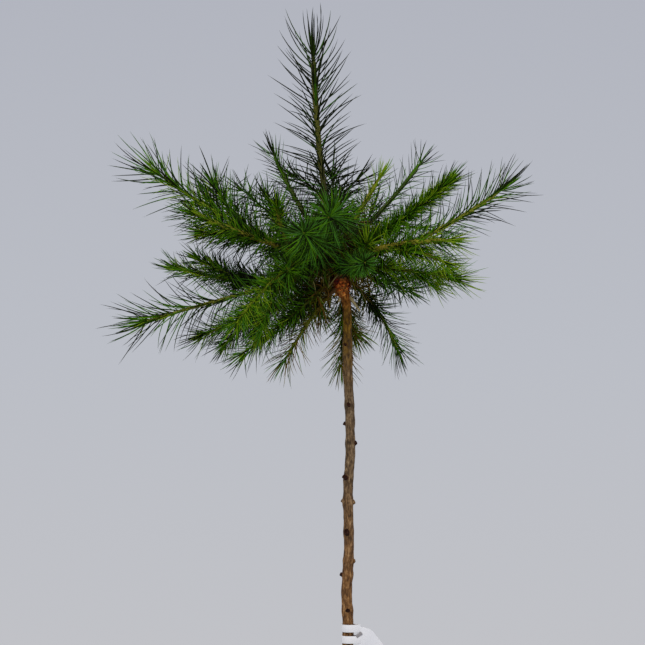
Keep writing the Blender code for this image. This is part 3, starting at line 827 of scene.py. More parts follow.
def shoot_bark(name, near, far):
    """Young bark, from its colour near the head to its colour near the shoot's tip, with dark leaf bases."""
    made = plain(name, far, roughness=0.65, specular=0.2)
    p = Pattern(made)
    head = tuple(stem_centre(STEM_HEIGHT + SCION_HEIGHT / 2))
    age = p.span(p.distance_from(head), 0.0, YOUNG_BARK_REACH)
    colour = p.ramp(age, ((0.03, 66, 42, 16), (0.14, *near), (0.75, *far)))
    p.colour(p.times(colour, p.span(p.noise(900, 4), 0.34, 0.66, 0.35, 1.45)))
    p.bump(p.noise(1400, 3), 0.0003)
    return made


def pot_plastic():
    """Dark moulded plastic, slightly dusty, with fine scuffs."""
    made = plain("pot_plastic", (40, 42, 43), roughness=0.5, specular=0.4)
    p = Pattern(made)
    dust = p.noise(22, 6, p.scaled((1, 1, 0.5)), 0.65)
    p.colour(p.ramp(dust, ((0.35, 32, 34, 35), (0.62, 48, 49, 49), (0.80, 74, 71, 66))))
    p.roughness(p.span(p.noise(160, 5, p.scaled((1, 1, 0.15))), 0.3, 0.7, 0.42, 0.66))
    p.bump(p.noise(1500, 2), 0.00012)
    return made


def soil_finish():
    """Damp peaty compost."""
    made = plain("soil", (52, 38, 28), roughness=0.95, specular=0.2)
    p = Pattern(made)
    p.colour(p.ramp(p.noise(240, 6), ((0.32, 26, 17, 12), (0.50, 52, 36, 25), (0.68, 84, 62, 42))))
    p.bump(p.noise(500, 5), 0.0012)
    return made


def grain_finish(name):
    """A two-tone finish for chips, crumbs and knobs."""
    dark, light, scale = GRAIN_FINISHES[name]
    made = plain(name, light, roughness=0.9, specular=0.2)
    p = Pattern(made)
    p.colour(p.ramp(p.noise(scale, 3), ((0.35, *dark), (0.65, *light))))
    return made


def tag_film():
    """White film, a little uneven."""
    made = plain("tag_plastic", (242, 242, 246), roughness=0.4)
    p = Pattern(made)
    p.roughness(p.span(p.noise(90, 3), 0.3, 0.7, 0.34, 0.50))
    p.colour(p.ramp(p.noise(30, 2), ((0.3, 232, 233, 238), (0.7, 250, 249, 250))))
    return made


def floor_finish():
    """Pale grey, a little uneven in its sheen."""
    made = plain("studio_floor", (196, 198, 203), roughness=0.7, specular=0.3)
    p = Pattern(made)
    p.roughness(p.span(p.noise(12, 3), 0.3, 0.7, 0.6, 0.8))
    return made


# Meshes


def add_to_scene(thing):
    bpy.context.scene.collection.objects.link(thing)


def gathered(parts):
    """The points and faces of many parts, as those of one."""
    points, faces, base = [], [], 0
    for new_points, new_faces in parts:
        points.append(new_points)
        faces += [tuple(v + base for v in face) for face in new_faces]
        base += len(new_points)
    return np.concatenate(points), faces


def mesh_piece(name, points, faces, materials, indices=None):
    """A piece from arrays, shaded smooth."""
    mesh = bpy.data.meshes.new(name)
    mesh.from_pydata([tuple(p) for p in points], [], faces)
    for material in materials:
        mesh.materials.append(material)
    if indices is not None:
        mesh.polygons.foreach_set("material_index", indices)
    mesh.shade_smooth()
    made = bpy.data.objects.new(name, mesh)
    add_to_scene(made)
    return made


def only(thing):
    """Makes one object the selected and active one."""
    bpy.ops.object.select_all(action="DESELECT")
    thing.select_set(True)
    bpy.context.view_layer.objects.active = thing


def apply_modifier(thing, kind, **settings):
    only(thing)
    modifier = thing.modifiers.new(kind.lower(), kind)
    for key, value in settings.items():
        setattr(modifier, key, value)
    bpy.ops.object.modifier_apply(modifier=modifier.name)


def apply_place(thing):
    only(thing)
    bpy.ops.object.transform_apply(location=True, rotation=True, scale=True)


def drawn_curve(name, points, radii=None):
    """A curve drawn through points, with a thickness at each if radii are given."""
    bpy.ops.curve.primitive_nurbs_path_add()
    made = bpy.context.object
    made.name = name
    made.location = (0, 0, 0)
    made.data.splines.clear()
    made.data.dimensions = "3D"
    spline = made.data.splines.new("POLY")
    spline.points.add(len(points) - 1)
    for i, place in enumerate(points):
        spline.points[i].co = (*place, 1)
        if radii is not None:
            spline.points[i].radius = radii[i]
    return made


def as_mesh(drawn):
    """Turns a drawn curve into a clean closed mesh."""
    name = drawn.name
    only(drawn)
    bpy.ops.object.convert(target="MESH")
    made = bpy.context.object
    made.data.name = name
    bpy.ops.object.mode_set(mode="EDIT")
    bpy.ops.mesh.select_all(action="SELECT")
    bpy.ops.mesh.remove_doubles(threshold=0.000001)
    bpy.ops.mesh.normals_make_consistent(inside=False)
    bpy.ops.object.mode_set(mode="OBJECT")
    return made


def limb_tube(name, centres, radii, sides):
    """A round tapering limb, drawn along its centres."""
    drawn = drawn_curve(name, centres, radii)
    drawn.data.bevel_depth = 1.0
    drawn.data.bevel_resolution = max(0, sides // 2 - 2)
    drawn.data.use_fill_caps = True
    made = as_mesh(drawn)
    made.data.shade_smooth()
    return made


def lathe(name, profile, steps):
    """A round piece turned from a drawn profile of (radius, height)."""
    drawn = drawn_curve(name, [(radius, 0, height) for radius, height in profile])
    turn = drawn.modifiers.new("turn", "SCREW")
    turn.steps = turn.render_steps = steps
    turn.use_merge_vertices = True
    turn.merge_threshold = 0.00001
    return as_mesh(drawn)


def round_edges(thing, width, degrees):
    """Rounds every edge at which the surface turns by more than some degrees."""
    limit = math.radians(degrees)
    apply_modifier(thing, "BEVEL", width=width, segments=2, limit_method="ANGLE", angle_limit=limit)


def smooth_by_angle(thing, degrees=35):
    only(thing)
    bpy.ops.object.shade_smooth_by_angle(angle=math.radians(degrees))


def relief(thing, kind, size, strength, stretch=1.0, seed_offset=0.0):
    """Pushes the surface in and out by a pattern, which may be stretched upright, and applies it."""
    texture = bpy.data.textures.new(f"{thing.name}_relief", kind)
    texture.noise_scale = size
    guide = bpy.data.objects.new("relief_guide", None)
    add_to_scene(guide)
    guide.scale = (1, 1, stretch)
    guide.location = (seed_offset, 0, 0)
    bpy.context.view_layer.update()
    apply_modifier(
        thing,
        "DISPLACE",
        texture=texture,
        texture_coords="OBJECT",
        texture_coords_object=guide,
        strength=strength,
        mid_level=0.5,
    )
    bpy.data.objects.remove(guide, do_unlink=True)
    bpy.data.textures.remove(texture)


def join(name, things):
    """Joins several meshes into one piece."""
    bpy.ops.object.select_all(action="DESELECT")
    for thing in things:
        thing.select_set(True)
    bpy.context.view_layer.objects.active = things[0]
    bpy.ops.object.join()
    joined = bpy.context.object
    joined.name = name
    joined.data.name = name
    return joined


def hold(piece, slot_name, *nodes):
    """Fixes a piece to the part's one body and hides the parts it replaces."""
    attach(piece, "root")
    if nodes:
        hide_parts(*nodes)


# Needles


def needle_mesh(roots, starts, ends, lengths, flats, breadth):
    """Many curved, flattened, pointed needles: points, faces, and each face's needle and place along it.

    A needle leaves its root along its start direction and finishes along its end direction. Its flat side
    faces the direction in flats.
    """
    count = len(roots)
    widths = np.maximum(lengths * NEEDLE_WIDTH_SHARE, LEAST_WIDTH) * breadth
    shares = (np.arange(NEEDLE_RINGS + 1) / NEEDLE_RINGS)[None, :, None]
    ways = unit(starts[:, None] * (1 - shares) + ends[:, None] * shares)
    steps = lengths[:, None, None] / NEEDLE_RINGS
    runs = np.cumsum((ways[:, :-1] + ways[:, 1:]) / 2 * steps, axis=1)
    centres = np.concatenate([np.zeros((count, 1, 3)), runs], axis=1) + roots[:, None]
    across = unit(np.cross(ways, flats[:, None]))
    outward = np.cross(ways, across)
    half = np.array(NEEDLE_PROFILE)[None, :, None] * widths[:, None, None] / 2
    rings = centres[:, :-1]
    a, b = across[:, :-1] * half, outward[:, :-1] * half * NEEDLE_FLATNESS
    corners = np.stack([rings + a, rings + b, rings - a, rings - b], axis=2).reshape(count, -1, 3)
    points = np.concatenate([corners, centres[:, -1:]], axis=1)
    size = points.shape[1]
    faces = [(3, 2, 1, 0)]
    for ring in range(NEEDLE_RINGS - 1):
        for k in range(4):
            low, high = ring * 4, ring * 4 + 4
            n = (k + 1) % 4
            faces.append((low + k, low + n, high + n, high + k))
    quads = np.array(faces)
    last = (NEEDLE_RINGS - 1) * 4
    tips = np.array([(last + k, last + (k + 1) % 4, size - 1) for k in range(4)])
    offsets = (np.arange(count) * size)[:, None, None]
    all_quads = (quads[None] + offsets).reshape(-1, 4)
    all_tips = (tips[None] + offsets).reshape(-1, 3)
    owners = np.concatenate([np.repeat(np.arange(count), len(quads)), np.repeat(np.arange(count), len(tips))])
    rings = np.maximum(np.arange(len(quads)) - 1, 0) // 4 / NEEDLE_RINGS
    stations = np.concatenate([np.tile(rings, count), np.ones(count * len(tips))])
    return points.reshape(-1, 3), all_quads.tolist() + all_tips.tolist(), owners, stations


def turned_aside(along, turns):
    """Directions square to each heading, turned about it."""
    first = unit(np.cross(along, np.array(SKEW_WAY)))
    second = np.cross(along, first)
    return first * np.cos(turns)[:, None] + second * np.sin(turns)[:, None]


def shoot_needles(line, needle, crowd, tangle, spray):
    """The needles of one shoot: a close spiral, wide open along it, and a fan that carries on at its tip."""
    count = int(line.length / (needle * NEEDLE_STEP_SHARE) * crowd)
    along_it = (np.arange(count) + 0.5) / count * line.length
    at_tip = line.length - chance.uniform(0, TIP_REACH, TIP_NEEDLES)
    distance = np.concatenate([along_it, at_tip])
    count += TIP_NEEDLES
    turns = chance.uniform(0, 2 * math.pi) + np.arange(count) * GOLDEN_ANGLE
    turns += chance.normal(0, TURN_SCATTER, count)
    along = line.heading(distance)
    aside = turned_aside(along, turns)
    places, root_angles, point_angles = zip(*SPRAY_SPREADS.get(spray, NEEDLE_SPREAD))
    scatter = chance.normal(0, SPREAD_SCATTER * tangle, count)
    scatter[-TIP_NEEDLES:] = chance.permutation(np.linspace(-TIP_SCATTER, TIP_SCATTER, TIP_NEEDLES))
    at_root = np.interp(line.length - distance, places, root_angles) + scatter
    at_point = np.interp(line.length - distance, places, point_angles) + scatter
    at_point += chance.normal(0, SPREAD_SCATTER * tangle, count)
    at_root, at_point = np.radians(np.maximum(at_root, LEAST_OPENING)), np.radians(at_point)
    starts = along * np.cos(at_root)[:, None] + aside * np.sin(at_root)[:, None]
    ends = along * np.cos(at_point)[:, None] + aside * np.sin(at_point)[:, None]
    ends += UP * SPRAY_LIFTS.get(spray, RISING) + chance.normal(0, BOWING * tangle, (count, 3))
    lengths = needle * chance.uniform(*NEEDLE_SIZES, count)
    roots = line.at(distance) + aside * ROOT_OFFSET
    return roots, starts, unit(ends), lengths, along, distance / line.length


def side_twigs(line):
    """Short side twigs on the inner part of a shoot, in a spiral."""
    twigs = []
    places = np.arange(TWIG_START, line.length * TWIG_ROOM, TWIG_SPACING)
    for i, place in enumerate(places):
        along = line.heading(np.array([place]))
        aside = turned_aside(along, np.array([i * GOLDEN_ANGLE + chance.uniform(0, 1)]))
        spread = math.radians(TWIG_SPREAD + chance.uniform(-TWIG_SCATTER, TWIG_SCATTER))
        reach = TWIG_LENGTH * chance.uniform(*TWIG_SIZES)
        root = line.at(place)
        away = (along * math.cos(spread) + aside * math.sin(spread))[0]
        bent = unit(away + along[0] * TWIG_LEAN + UP * TWIG_RISE)
        middle = root + away * reach * 0.5
        twigs.append(bend(root, middle, middle + bent * reach * 0.5))
    return twigs


def tuft_needles(line, reach):
    """Tufts of shorter needles on short spurs along the older wood."""
    places = np.arange(TUFT_STEP * TUFT_START_SHARE, reach, TUFT_STEP)
    parts = []
    for i, place in enumerate(places):
        along = line.heading(np.array([place]))
        outward = turned_aside(along, np.array([i * GOLDEN_ANGLE + chance.uniform(0, 1)]))
        aim = np.repeat(unit(outward + along * TUFT_LEAN), TUFT_NEEDLES, axis=0)
        around = turned_aside(aim, np.arange(TUFT_NEEDLES) * GOLDEN_ANGLE)
        spread = np.radians(chance.uniform(*TUFT_OPENING, TUFT_NEEDLES))[:, None]
        starts = aim * np.cos(spread) + around * np.sin(spread)
        roots = np.repeat(line.at(np.array([place])), TUFT_NEEDLES, axis=0)
        lengths = TUFT_LENGTH * chance.uniform(*TUFT_SIZES, TUFT_NEEDLES)
        ends = unit(starts + UP * SPRAY_LIFTS["tuft"])
        parts.append((roots, starts, ends, lengths, aim, np.full(TUFT_NEEDLES, TUFT_TONE_SHARE)))
    return [np.concatenate(column) for column in zip(*parts)]


def clear_of_stem(roots, starts, ends, lengths):
    """Which needles stay out of the stem, and leave the graft in view from the front."""
    heights = np.linspace(CLEAR_FROM, STEM_HEIGHT + SCION_HEIGHT, CLEAR_RINGS)
    axis = np.array([stem_centre(h) for h in heights])
    girth = np.array([stem_radius(h) for h in heights])
    graft = stem_centre(STEM_HEIGHT)
    clear = np.ones(len(roots), bool)
    for share in CLEAR_SHARES:
        way = unit(starts * (1 - share / 2) + ends * share / 2)
        points = roots + way * (lengths * share)[:, None]
        gaps = np.linalg.norm(points[:, None] - axis[None], axis=2) - girth[None]
        clear &= gaps.min(axis=1) > STEM_CLEARANCE
        before = (np.abs(points[:, 0] - graft[0]) < GRAFT_VIEW) & (points[:, 1] < graft[1])
        clear &= ~(before & (points[:, 2] < graft[2] + GRAFT_TOP))
    return clear


def dealt_tones(spray, share):
    """A tone for each needle: the spray's own mix, more young towards its tip, and more of the painted shade
    tone near the head, where the inner crown is in shade.
    """
    weights = np.array(SPRAY_TONES[spray], float)
    picks = chance.choice(len(weights), size=len(share), p=weights / weights.sum())
    young = (share > YOUNG_SHARE) & (chance.random(len(share)) < YOUNG_CHANCE) & (spray in YOUNG_SPRAYS)
    picks[young] = TONE_NAMES.index("needle_young")
    # Painted shade: needles near the head take the shade tone.
    inner = (share < PAINTED_SHADE_SHARE) & (chance.random(len(share)) < PAINTED_SHADE_CHANCE)
    picks[inner] = TONE_NAMES.index("needle_painted_shade")
    return picks


def make_needles(name, limb, lines, twigs, materials):
    """The needles of one limb, as one piece."""
    spray, _, crowd, tangle, fleece = LOOKS[name]
    inner = TWIG_SPRAYS.get(name)
    long, forked, inner_long = (limb.needle * share for share in (1, FORK_NEEDLE_SHARE, TWIG_NEEDLE_SHARE))
    groups = [(shoot_needles(lines[0], long, crowd, tangle, spray), spray)]
    groups += [(shoot_needles(fork, forked, crowd, tangle, spray), spray) for fork in lines[1:]]
    groups += [(shoot_needles(twig, inner_long, 1, tangle, inner), inner) for twig in twigs]
    if fleece:
        under = FLEECE_SPRAYS.get(spray, spray)
        short, close = limb.needle * FLEECE_SHARE, fleece * FLEECE_SHARE
        groups += [(shoot_needles(line, short, close, tangle, spray), under) for line in lines]
    groups.append((tuft_needles(limb_line(limb), limb.bare + TUFT_OVERLAP), "tuft"))
    parts, indices = [], []
    for (roots, starts, ends, lengths, flats, share), tones in groups:
        keep = clear_of_stem(roots, starts, ends, lengths)
        picks = dealt_tones(tones, share[keep])
        breadth = SPRAY_BREADTHS.get(tones, 1.0)
        points, faces, owners, stations = needle_mesh(
            roots[keep], starts[keep], ends[keep], lengths[keep], flats[keep], breadth
        )
        parts.append((points, faces))
        shown = picks[owners]
        if tones not in EVEN_SPRAYS:
            shown = np.where(stations < OUTER_SHARE, shown, OUTER_PICKS[shown])
        indices.append(shown)
    piece = mesh_piece("needles_" + name, *gathered(parts), materials, np.concatenate(indices))
    hold(piece, "needles", "foliage_" + name)


# Wood


def make_stem(bark):
    """The stem with a slight swelling at each node and the bark's relief."""
    top = STEM_HEIGHT + SCION_HEIGHT
    heights = np.arange(RING_STEP / 3, top, RING_STEP)
    nodes = np.array([place[0] + NODE_LIFT for place in spur_places()])
    radii = []
    for height in heights:
        swelling = NODE_SWELLING * np.exp(-(((nodes - height) / NODE_SPAN) ** 2)).max()
        radii.append(stem_radius(height) + swelling)
    stem = limb_tube("stem", [stem_centre(h) for h in heights], radii, STEM_SIDES)
    relief(stem, "CLOUDS", size=0.006, strength=0.0010, stretch=2.0)
    relief(stem, "CLOUDS", size=0.0018, strength=0.0009, stretch=5.0, seed_offset=0.3)
    stem.data.materials.append(bark)
    hold(stem, "stem_bark", "trunk")


def make_knot(bark):
    """One pruned spur: a short stub with a torn, sunken end."""
    bpy.ops.mesh.primitive_cylinder_add(
        vertices=KNOT_SIDES, radius=KNOT_RADIUS, depth=KNOT_DEPTH, location=(0, 0, KNOT_SHIFT)
    )
    knot = bpy.context.object
    bpy.ops.object.mode_set(mode="EDIT")
    bpy.ops.mesh.select_all(action="DESELECT")
    bpy.ops.object.mode_set(mode="OBJECT")
    for face in knot.data.polygons:
        face.select = face.normal.z > TOP_FACING
    bpy.ops.object.mode_set(mode="EDIT")
    bpy.ops.transform.resize(value=(KNOT_TAPER, KNOT_TAPER, 1))
    bpy.ops.mesh.inset(thickness=KNOT_BARK)
    bpy.ops.transform.translate(value=(0, 0, KNOT_LIP))
    bpy.ops.mesh.inset(thickness=KNOT_RIM)
    bpy.ops.transform.translate(value=(0, 0, -KNOT_PIT))
    bpy.ops.mesh.select_all(action="SELECT")
    bpy.ops.mesh.subdivide(number_cuts=1)
    bpy.ops.object.mode_set(mode="OBJECT")
    knot.data.materials.append(bark)
    knot.data.shade_smooth()
    return knot


def make_knots(name, places, finish):
    """Stubs of one kind on the stem, each a little different."""
    model = make_knot(finish)
    copies = []
    for height, azimuth, size in places:
        turn = math.radians(azimuth)
        outward = Vector((math.cos(turn), math.sin(turn), KNOT_RISE)).normalized()
        copy = model.copy()
        copy.data = model.data.copy()
        add_to_scene(copy)
        centre = Vector(stem_centre(height)) + outward * stem_radius(height) * KNOT_SEAT
        spin = Matrix.Rotation(chance.uniform(0, math.pi), 4, "Z")
        aim = outward.to_track_quat("Z", "Y").to_matrix().to_4x4()
        stretch = Matrix.Diagonal((size, size * KNOT_SQUASH, size, 1))
        copy.matrix_world = Matrix.Translation(centre) @ aim @ spin @ stretch
        copies.append(copy)
    bpy.data.objects.remove(model, do_unlink=True)
    knots = join(name, copies)
    apply_place(knots)
    relief(knots, "CLOUDS", size=0.0012, strength=0.0010)
    hold(knots, "stem_bark")


def flake(root, lift, outward, length, width):
    """Corner points and faces of one thin strip of bark that curls in towards its narrower end."""
    across = unit(np.cross(lift, outward + UP * FLAKE_TILT))
    thick = np.cross(lift, across) * FLAKE_THICKNESS
    last = FLAKE_STEPS * 4
    points, faces = [], [(3, 2, 1, 0), (last, last + 1, last + 2, last + 3)]
    for step in range(FLAKE_STEPS + 1):
        curl = outward * length * FLAKE_CURL * step * step / FLAKE_STEPS**2
        middle = root + lift * length * step / FLAKE_STEPS - curl
        half = across * width * (1 - FLAKE_TAPER * step) / 2
        points += [middle - half - thick, middle + half - thick, middle + half + thick, middle - half + thick]
    for ring in range(0, last, 4):
        for k in range(4):
            n = (k + 1) % 4
            faces.append((ring + k, ring + n, ring + 4 + n, ring + 4 + k))
    return points, faces


def around_stem(azimuth):
    """The directions outward and sideways from the stem, for an angle in radians."""
    right, back = math.cos(azimuth), math.sin(azimuth)
    return np.array([right, back, 0.0]), np.array([-back, right, 0.0])


def make_flakes(name, finish):
    """Small curled flakes of bark that stand off round the graft."""
    parts = []
    for i in range(FLAKE_COUNT):
        height = chance.uniform(STEM_HEIGHT - FLAKES_BELOW, STEM_HEIGHT + FLAKES_ABOVE)
        outward, sideways = around_stem(i * GOLDEN_ANGLE)
        up, out, aside = (chance.uniform(*leans) for leans in FLAKE_LEANS)
        lift = unit(UP * up + outward * out + sideways * aside)
        length = chance.uniform(*FLAKE_LENGTHS)
        root = stem_centre(height) + outward * (stem_radius(height) - FLAKE_SEAT)
        parts.append(flake(root, lift, outward, length, length * chance.uniform(*FLAKE_WIDTHS)))
    hold(mesh_piece(name, *gathered(parts), [finish]), "stem_bark")


def make_husks(name, rows, finish):
    """Dry strips of bark that hang from the graft, each with its flat side to the front or back."""
    parts = []
    for height, azimuth, out, down, length, width in rows:
        outward, sideways = around_stem(math.radians(azimuth))
        root = stem_centre(height) + outward * (stem_radius(height) - HUSK_SEAT)
        parts.append(flake(root, unit(outward * out - UP * down), sideways, length, width))
    hold(mesh_piece(name, *gathered(parts), [finish]), "stem_bark")


def make_graft(bark):
    """The knobbly collar of the graft, in ragged ridges."""
    heights = np.arange(-COLLAR_BELOW, COLLAR_ABOVE, COLLAR_STEP) + STEM_HEIGHT
    ridges = np.abs(np.sin((heights - STEM_HEIGHT) * RIDGE_TURNS))
    fade = np.sin((heights - heights[0]) / (heights[-1] - heights[0]) * math.pi)
    radii = [stem_radius(h) - COLLAR_INSET + RIDGE_HEIGHT * r * f for h, r, f in zip(heights, ridges, fade)]
    collar = limb_tube("graft_collar", [stem_centre(h) for h in heights], radii, COLLAR_SIDES)
    relief(collar, "CLOUDS", size=0.0030, strength=0.0020)
    relief(collar, "VORONOI", size=0.0012, strength=0.0010)
    collar.data.materials.append(bark)
    hold(collar, "stem_bark")


def shoot_wood(name, line, base, tip, sides):
    """The wood of one shoot or twig, knobbly with leaf bases, thinner where its fan of needles starts."""
    count = max(LEAST_RINGS, int(line.length / WOOD_STEP))
    radii = np.linspace(base, tip, count) * (1 + LEAF_BASE_SWELL * np.sin(np.arange(count) * LEAF_BASE_TURN))
    left = line.length * (1 - np.arange(count) / (count - 1))
    radii *= np.interp(left, (0, THINNING_REACH), (THINNEST_SHARE, 1))
    return limb_tube(name, line.at(np.linspace(0, line.length, count)), radii, sides)


def make_buds(shoots, finish):
    """The pale bud at the tip of every shoot, all of them one piece."""
    buds = []
    for line in shoots:
        tip, heading = line.at(line.length), line.heading(np.array([line.length]))[0]
        rings = [tip + heading * step for step, _ in BUD_RINGS]
        buds.append(limb_tube("bud", rings, [radius for _, radius in BUD_RINGS], BUD_SIDES))
    piece = join("shoot_buds", buds)
    piece.data.materials.append(finish)
    hold(piece, "bough_bark")


def make_limb(name, limb, lines, twigs, bough_finish, shoot_finish):
    """A bough, and its shoots and twigs, as two pieces of tapering wood."""
    base, tip, _, _ = SHOOT_WOODS[LOOKS[name].wood]
    whole = limb_line(limb)
    stations = np.linspace(0, limb.bare + BOUGH_OVERLAP, BOUGH_RINGS)
    past_flare = (BOUGH_BASE_RADIUS + base) / 2
    bends = (0, BOUGH_FLARE_END, limb.bare)
    radii = np.interp(stations, bends, (BOUGH_BASE_RADIUS * BOUGH_FLARE, past_flare, base))
    bough = limb_tube("bough_wood_" + name, whole.at(stations), radii, BOUGH_SIDES)
    relief(bough, "CLOUDS", size=0.002, strength=0.0006)
    bough.data.materials.append(bough_finish)
    hold(bough, "bough_bark", "bough_" + name)
    fork_base, fork_tip = base * FORK_GIRTH_SHARE, tip * FORK_TIP_SHARE
    twig_tip = TWIG_RADIUS * TWIG_TIP_SHARE
    stems = [shoot_wood("shoot_stem", lines[0], base, tip, SHOOT_SIDES)]
    stems += [shoot_wood("fork_stem", line, fork_base, fork_tip, FORK_SIDES) for line in lines[1:]]
    stems += [shoot_wood("twig_stem", twig, TWIG_RADIUS, twig_tip, TWIG_SIDES) for twig in twigs]
    shoot = join("shoot_" + name, stems)
    relief(shoot, "CLOUDS", size=0.0012, strength=0.0005)
    shoot.data.materials.append(shoot_finish)
    hold(shoot, "bough_bark", "foliage_" + name)


# Pot, soil and tag


def pot_outer(height):
    return POT_FOOT_RADIUS + (POT_TOP_RADIUS - POT_FOOT_RADIUS) * height / POT_HEIGHT


def make_pot(finish):
    """The moulded pot: a ringed foot, raised bands, a turned-down rim and drain holes, all softly rounded."""
    rim_foot, rim_radius = POT_HEIGHT - RIM_DEPTH, POT_TOP_RADIUS + RIM_WIDTH
    profile = [
        (0, FOOT_RISE),
        (POT_FOOT_RADIUS - FOOT_RING[0], FOOT_RISE),
        (POT_FOOT_RADIUS - FOOT_RING[1], 0.0),
        (POT_FOOT_RADIUS - POT_FLOOR, 0.0),
        (pot_outer(POT_FLOOR), POT_FLOOR),
    ]
    for height in POT_BANDS:
        for rise, swell in BAND_SHAPE:
            profile.append((pot_outer(height + rise) + swell, height + rise))
    profile += [
        (pot_outer(rim_foot + 0.002), rim_foot + 0.002),
        (rim_radius - 0.0022, rim_foot + 0.0024),
        (rim_radius - 0.0018, rim_foot),
        (rim_radius - 0.0003, rim_foot),
        (rim_radius, POT_HEIGHT - RIM_ROUNDING),
        (rim_radius - RIM_ROUNDING, POT_HEIGHT),
        (POT_TOP_RADIUS - POT_WALL, POT_HEIGHT),
        (pot_outer(POT_LEDGE) - 0.0016, POT_LEDGE + 0.001),
        (pot_outer(POT_LEDGE) - 0.0024, POT_LEDGE - 0.001),
        (pot_outer(POT_FLOOR) - POT_WALL, POT_FLOOR),
        (0, POT_FLOOR),
    ]
    pot = lathe("pot_shell", profile, POT_SIDES)
    holes = []
    for i in range(DRAIN_HOLES):
        turn = 2 * math.pi * (i + 0.5) / DRAIN_HOLES
        level = Vector((math.cos(turn), math.sin(turn), 0))
        outward = level + Vector((0, 0, DRAIN_SLOPE))
        bpy.ops.mesh.primitive_cylinder_add(
            vertices=DRAIN_SIDES,
            radius=DRAIN_RADIUS,
            depth=DRAIN_RADIUS * 4,
            location=level * (POT_FOOT_RADIUS - POT_WALL) + Vector((0, 0, POT_FLOOR)),
            rotation=outward.to_track_quat("Z", "Y").to_euler(),
        )
        holes.append(bpy.context.object)
    cutter = join("drain_cutter", holes)
    apply_modifier(pot, "BOOLEAN", object=cutter, operation="DIFFERENCE", solver="EXACT")
    bpy.data.objects.remove(cutter, do_unlink=True)
    round_edges(pot, POT_ROUNDING, 30)
    smooth_by_angle(pot, 40)
    pot.data.materials.append(finish)
    hold(pot, "pot_plastic", "pot")


def soil_top(share):
    """The height of the soil's top, which dips towards the pot, at a share of the way out."""
    return SOIL_LEVEL - SOIL_DIP * max(share - SOIL_DIP_FROM, 0) / (1 - SOIL_DIP_FROM)


def make_soil(finish):
    """The potting soil, uneven on top, a little clear of the pot."""
    edge = SOIL_LEVEL - SOIL_DIP
    radius = pot_outer(edge) - SOIL_GAP
    profile = [(0, SOIL_FOOT)]
    for height in (*SOIL_WALL_HEIGHTS, edge - SOIL_SHOULDER):
        profile.append((pot_outer(height) - SOIL_GAP, height))
    profile += [(radius * share, soil_top(share)) for share in np.linspace(1, 0, SOIL_RINGS)]
    soil = lathe("soil_block", profile, SOIL_SIDES)
    relief(soil, "CLOUDS", size=0.016, strength=0.0030)
    relief(soil, "CLOUDS", size=0.0040, strength=0.0018)
    soil.data.shade_smooth()
    soil.data.materials.append(finish)
    hold(soil, "soil", "soil")


def grain_shape(kind):
    """Corner points and faces of one grain, about one across: a rounded lump or a flat chip."""
    if kind == "lump":
        bpy.ops.mesh.primitive_ico_sphere_add(subdivisions=1, radius=0.5)
    else:
        bpy.ops.mesh.primitive_cube_add(size=1)
    shape = bpy.context.object
    points = np.array([vertex.co for vertex in shape.data.vertices])
    faces = [tuple(face.vertices) for face in shape.data.polygons]
    bpy.data.objects.remove(shape, do_unlink=True)
    return points, faces


def scatter(name, kind, count, sizes, proportions, finish):
    """Many grains strewn over the soil, each turned, stretched and roughened its own way."""
    points, faces = grain_shape(kind)
    parts = []
    for _ in range(count):
        reach = math.sqrt(chance.uniform(STREW_INNER**2, STREW_OUTER**2))
        turn = chance.uniform(0, 2 * math.pi)
        spin = Matrix.Rotation(chance.uniform(0, 2 * math.pi), 3, "Z")
        pitch = Matrix.Rotation(chance.normal(0, STREW_TILT), 3, "X")
        roll = Matrix.Rotation(chance.normal(0, STREW_TILT), 3, "Y")
        size = chance.uniform(*sizes)
        uneven = 1 + chance.uniform(-STREW_UNEVENNESS, STREW_UNEVENNESS, points.shape)
        shape = points * uneven * proportions * size
        lie = np.array(spin @ pitch @ roll)
        height = soil_top(reach / STREW_OUTER) + chance.uniform(0, size * STREW_HEAP)
        place = (reach * math.cos(turn), reach * math.sin(turn), height)
        parts.append((shape @ lie.T + place, faces))
    piece = mesh_piece(name, *gathered(parts), [finish])
    if kind == "chip":
        smooth_by_angle(piece, 20)
    hold(piece, "soil")


def tag_band(middle, low, high):
    """One band of the tag: an upright strip that loops round the stem and meets itself at the flag."""
    first, last = TAG_LOOP_TURN
    turns = np.linspace(math.radians(first), math.radians(last), TAG_LOOP_POINTS)
    loop = [(TAG_RADIUS * math.cos(a), TAG_RADIUS * math.sin(a)) for a in turns]
    ends = [(TAG_LOOP_END, -TAG_DEPTH + lap) for lap in TAG_LAP]
    path = [ends[0], *loop, ends[1]]
    drawn = drawn_curve("tag_band", [middle + Vector((x, y, (low + high) / 2)) for x, y in path])
    drawn.data.extrude = (high - low) / 2
    return as_mesh(drawn)


def tag_flag(middle):
    """The flat, rounded flag of the tag, faced to the front."""
    drawn = drawn_curve("tag_flag", [(right, up, 0) for right, up in TAG_OUTLINE])
    drawn.data.dimensions = "2D"
    drawn.data.fill_mode = "BOTH"
    drawn.data.splines[0].use_cyclic_u = True
    drawn.rotation_euler = (math.radians(90), 0, 0)
    drawn.location = middle + Vector((0, -TAG_DEPTH, 0))
    flag = as_mesh(drawn)
    apply_place(flag)
    return flag


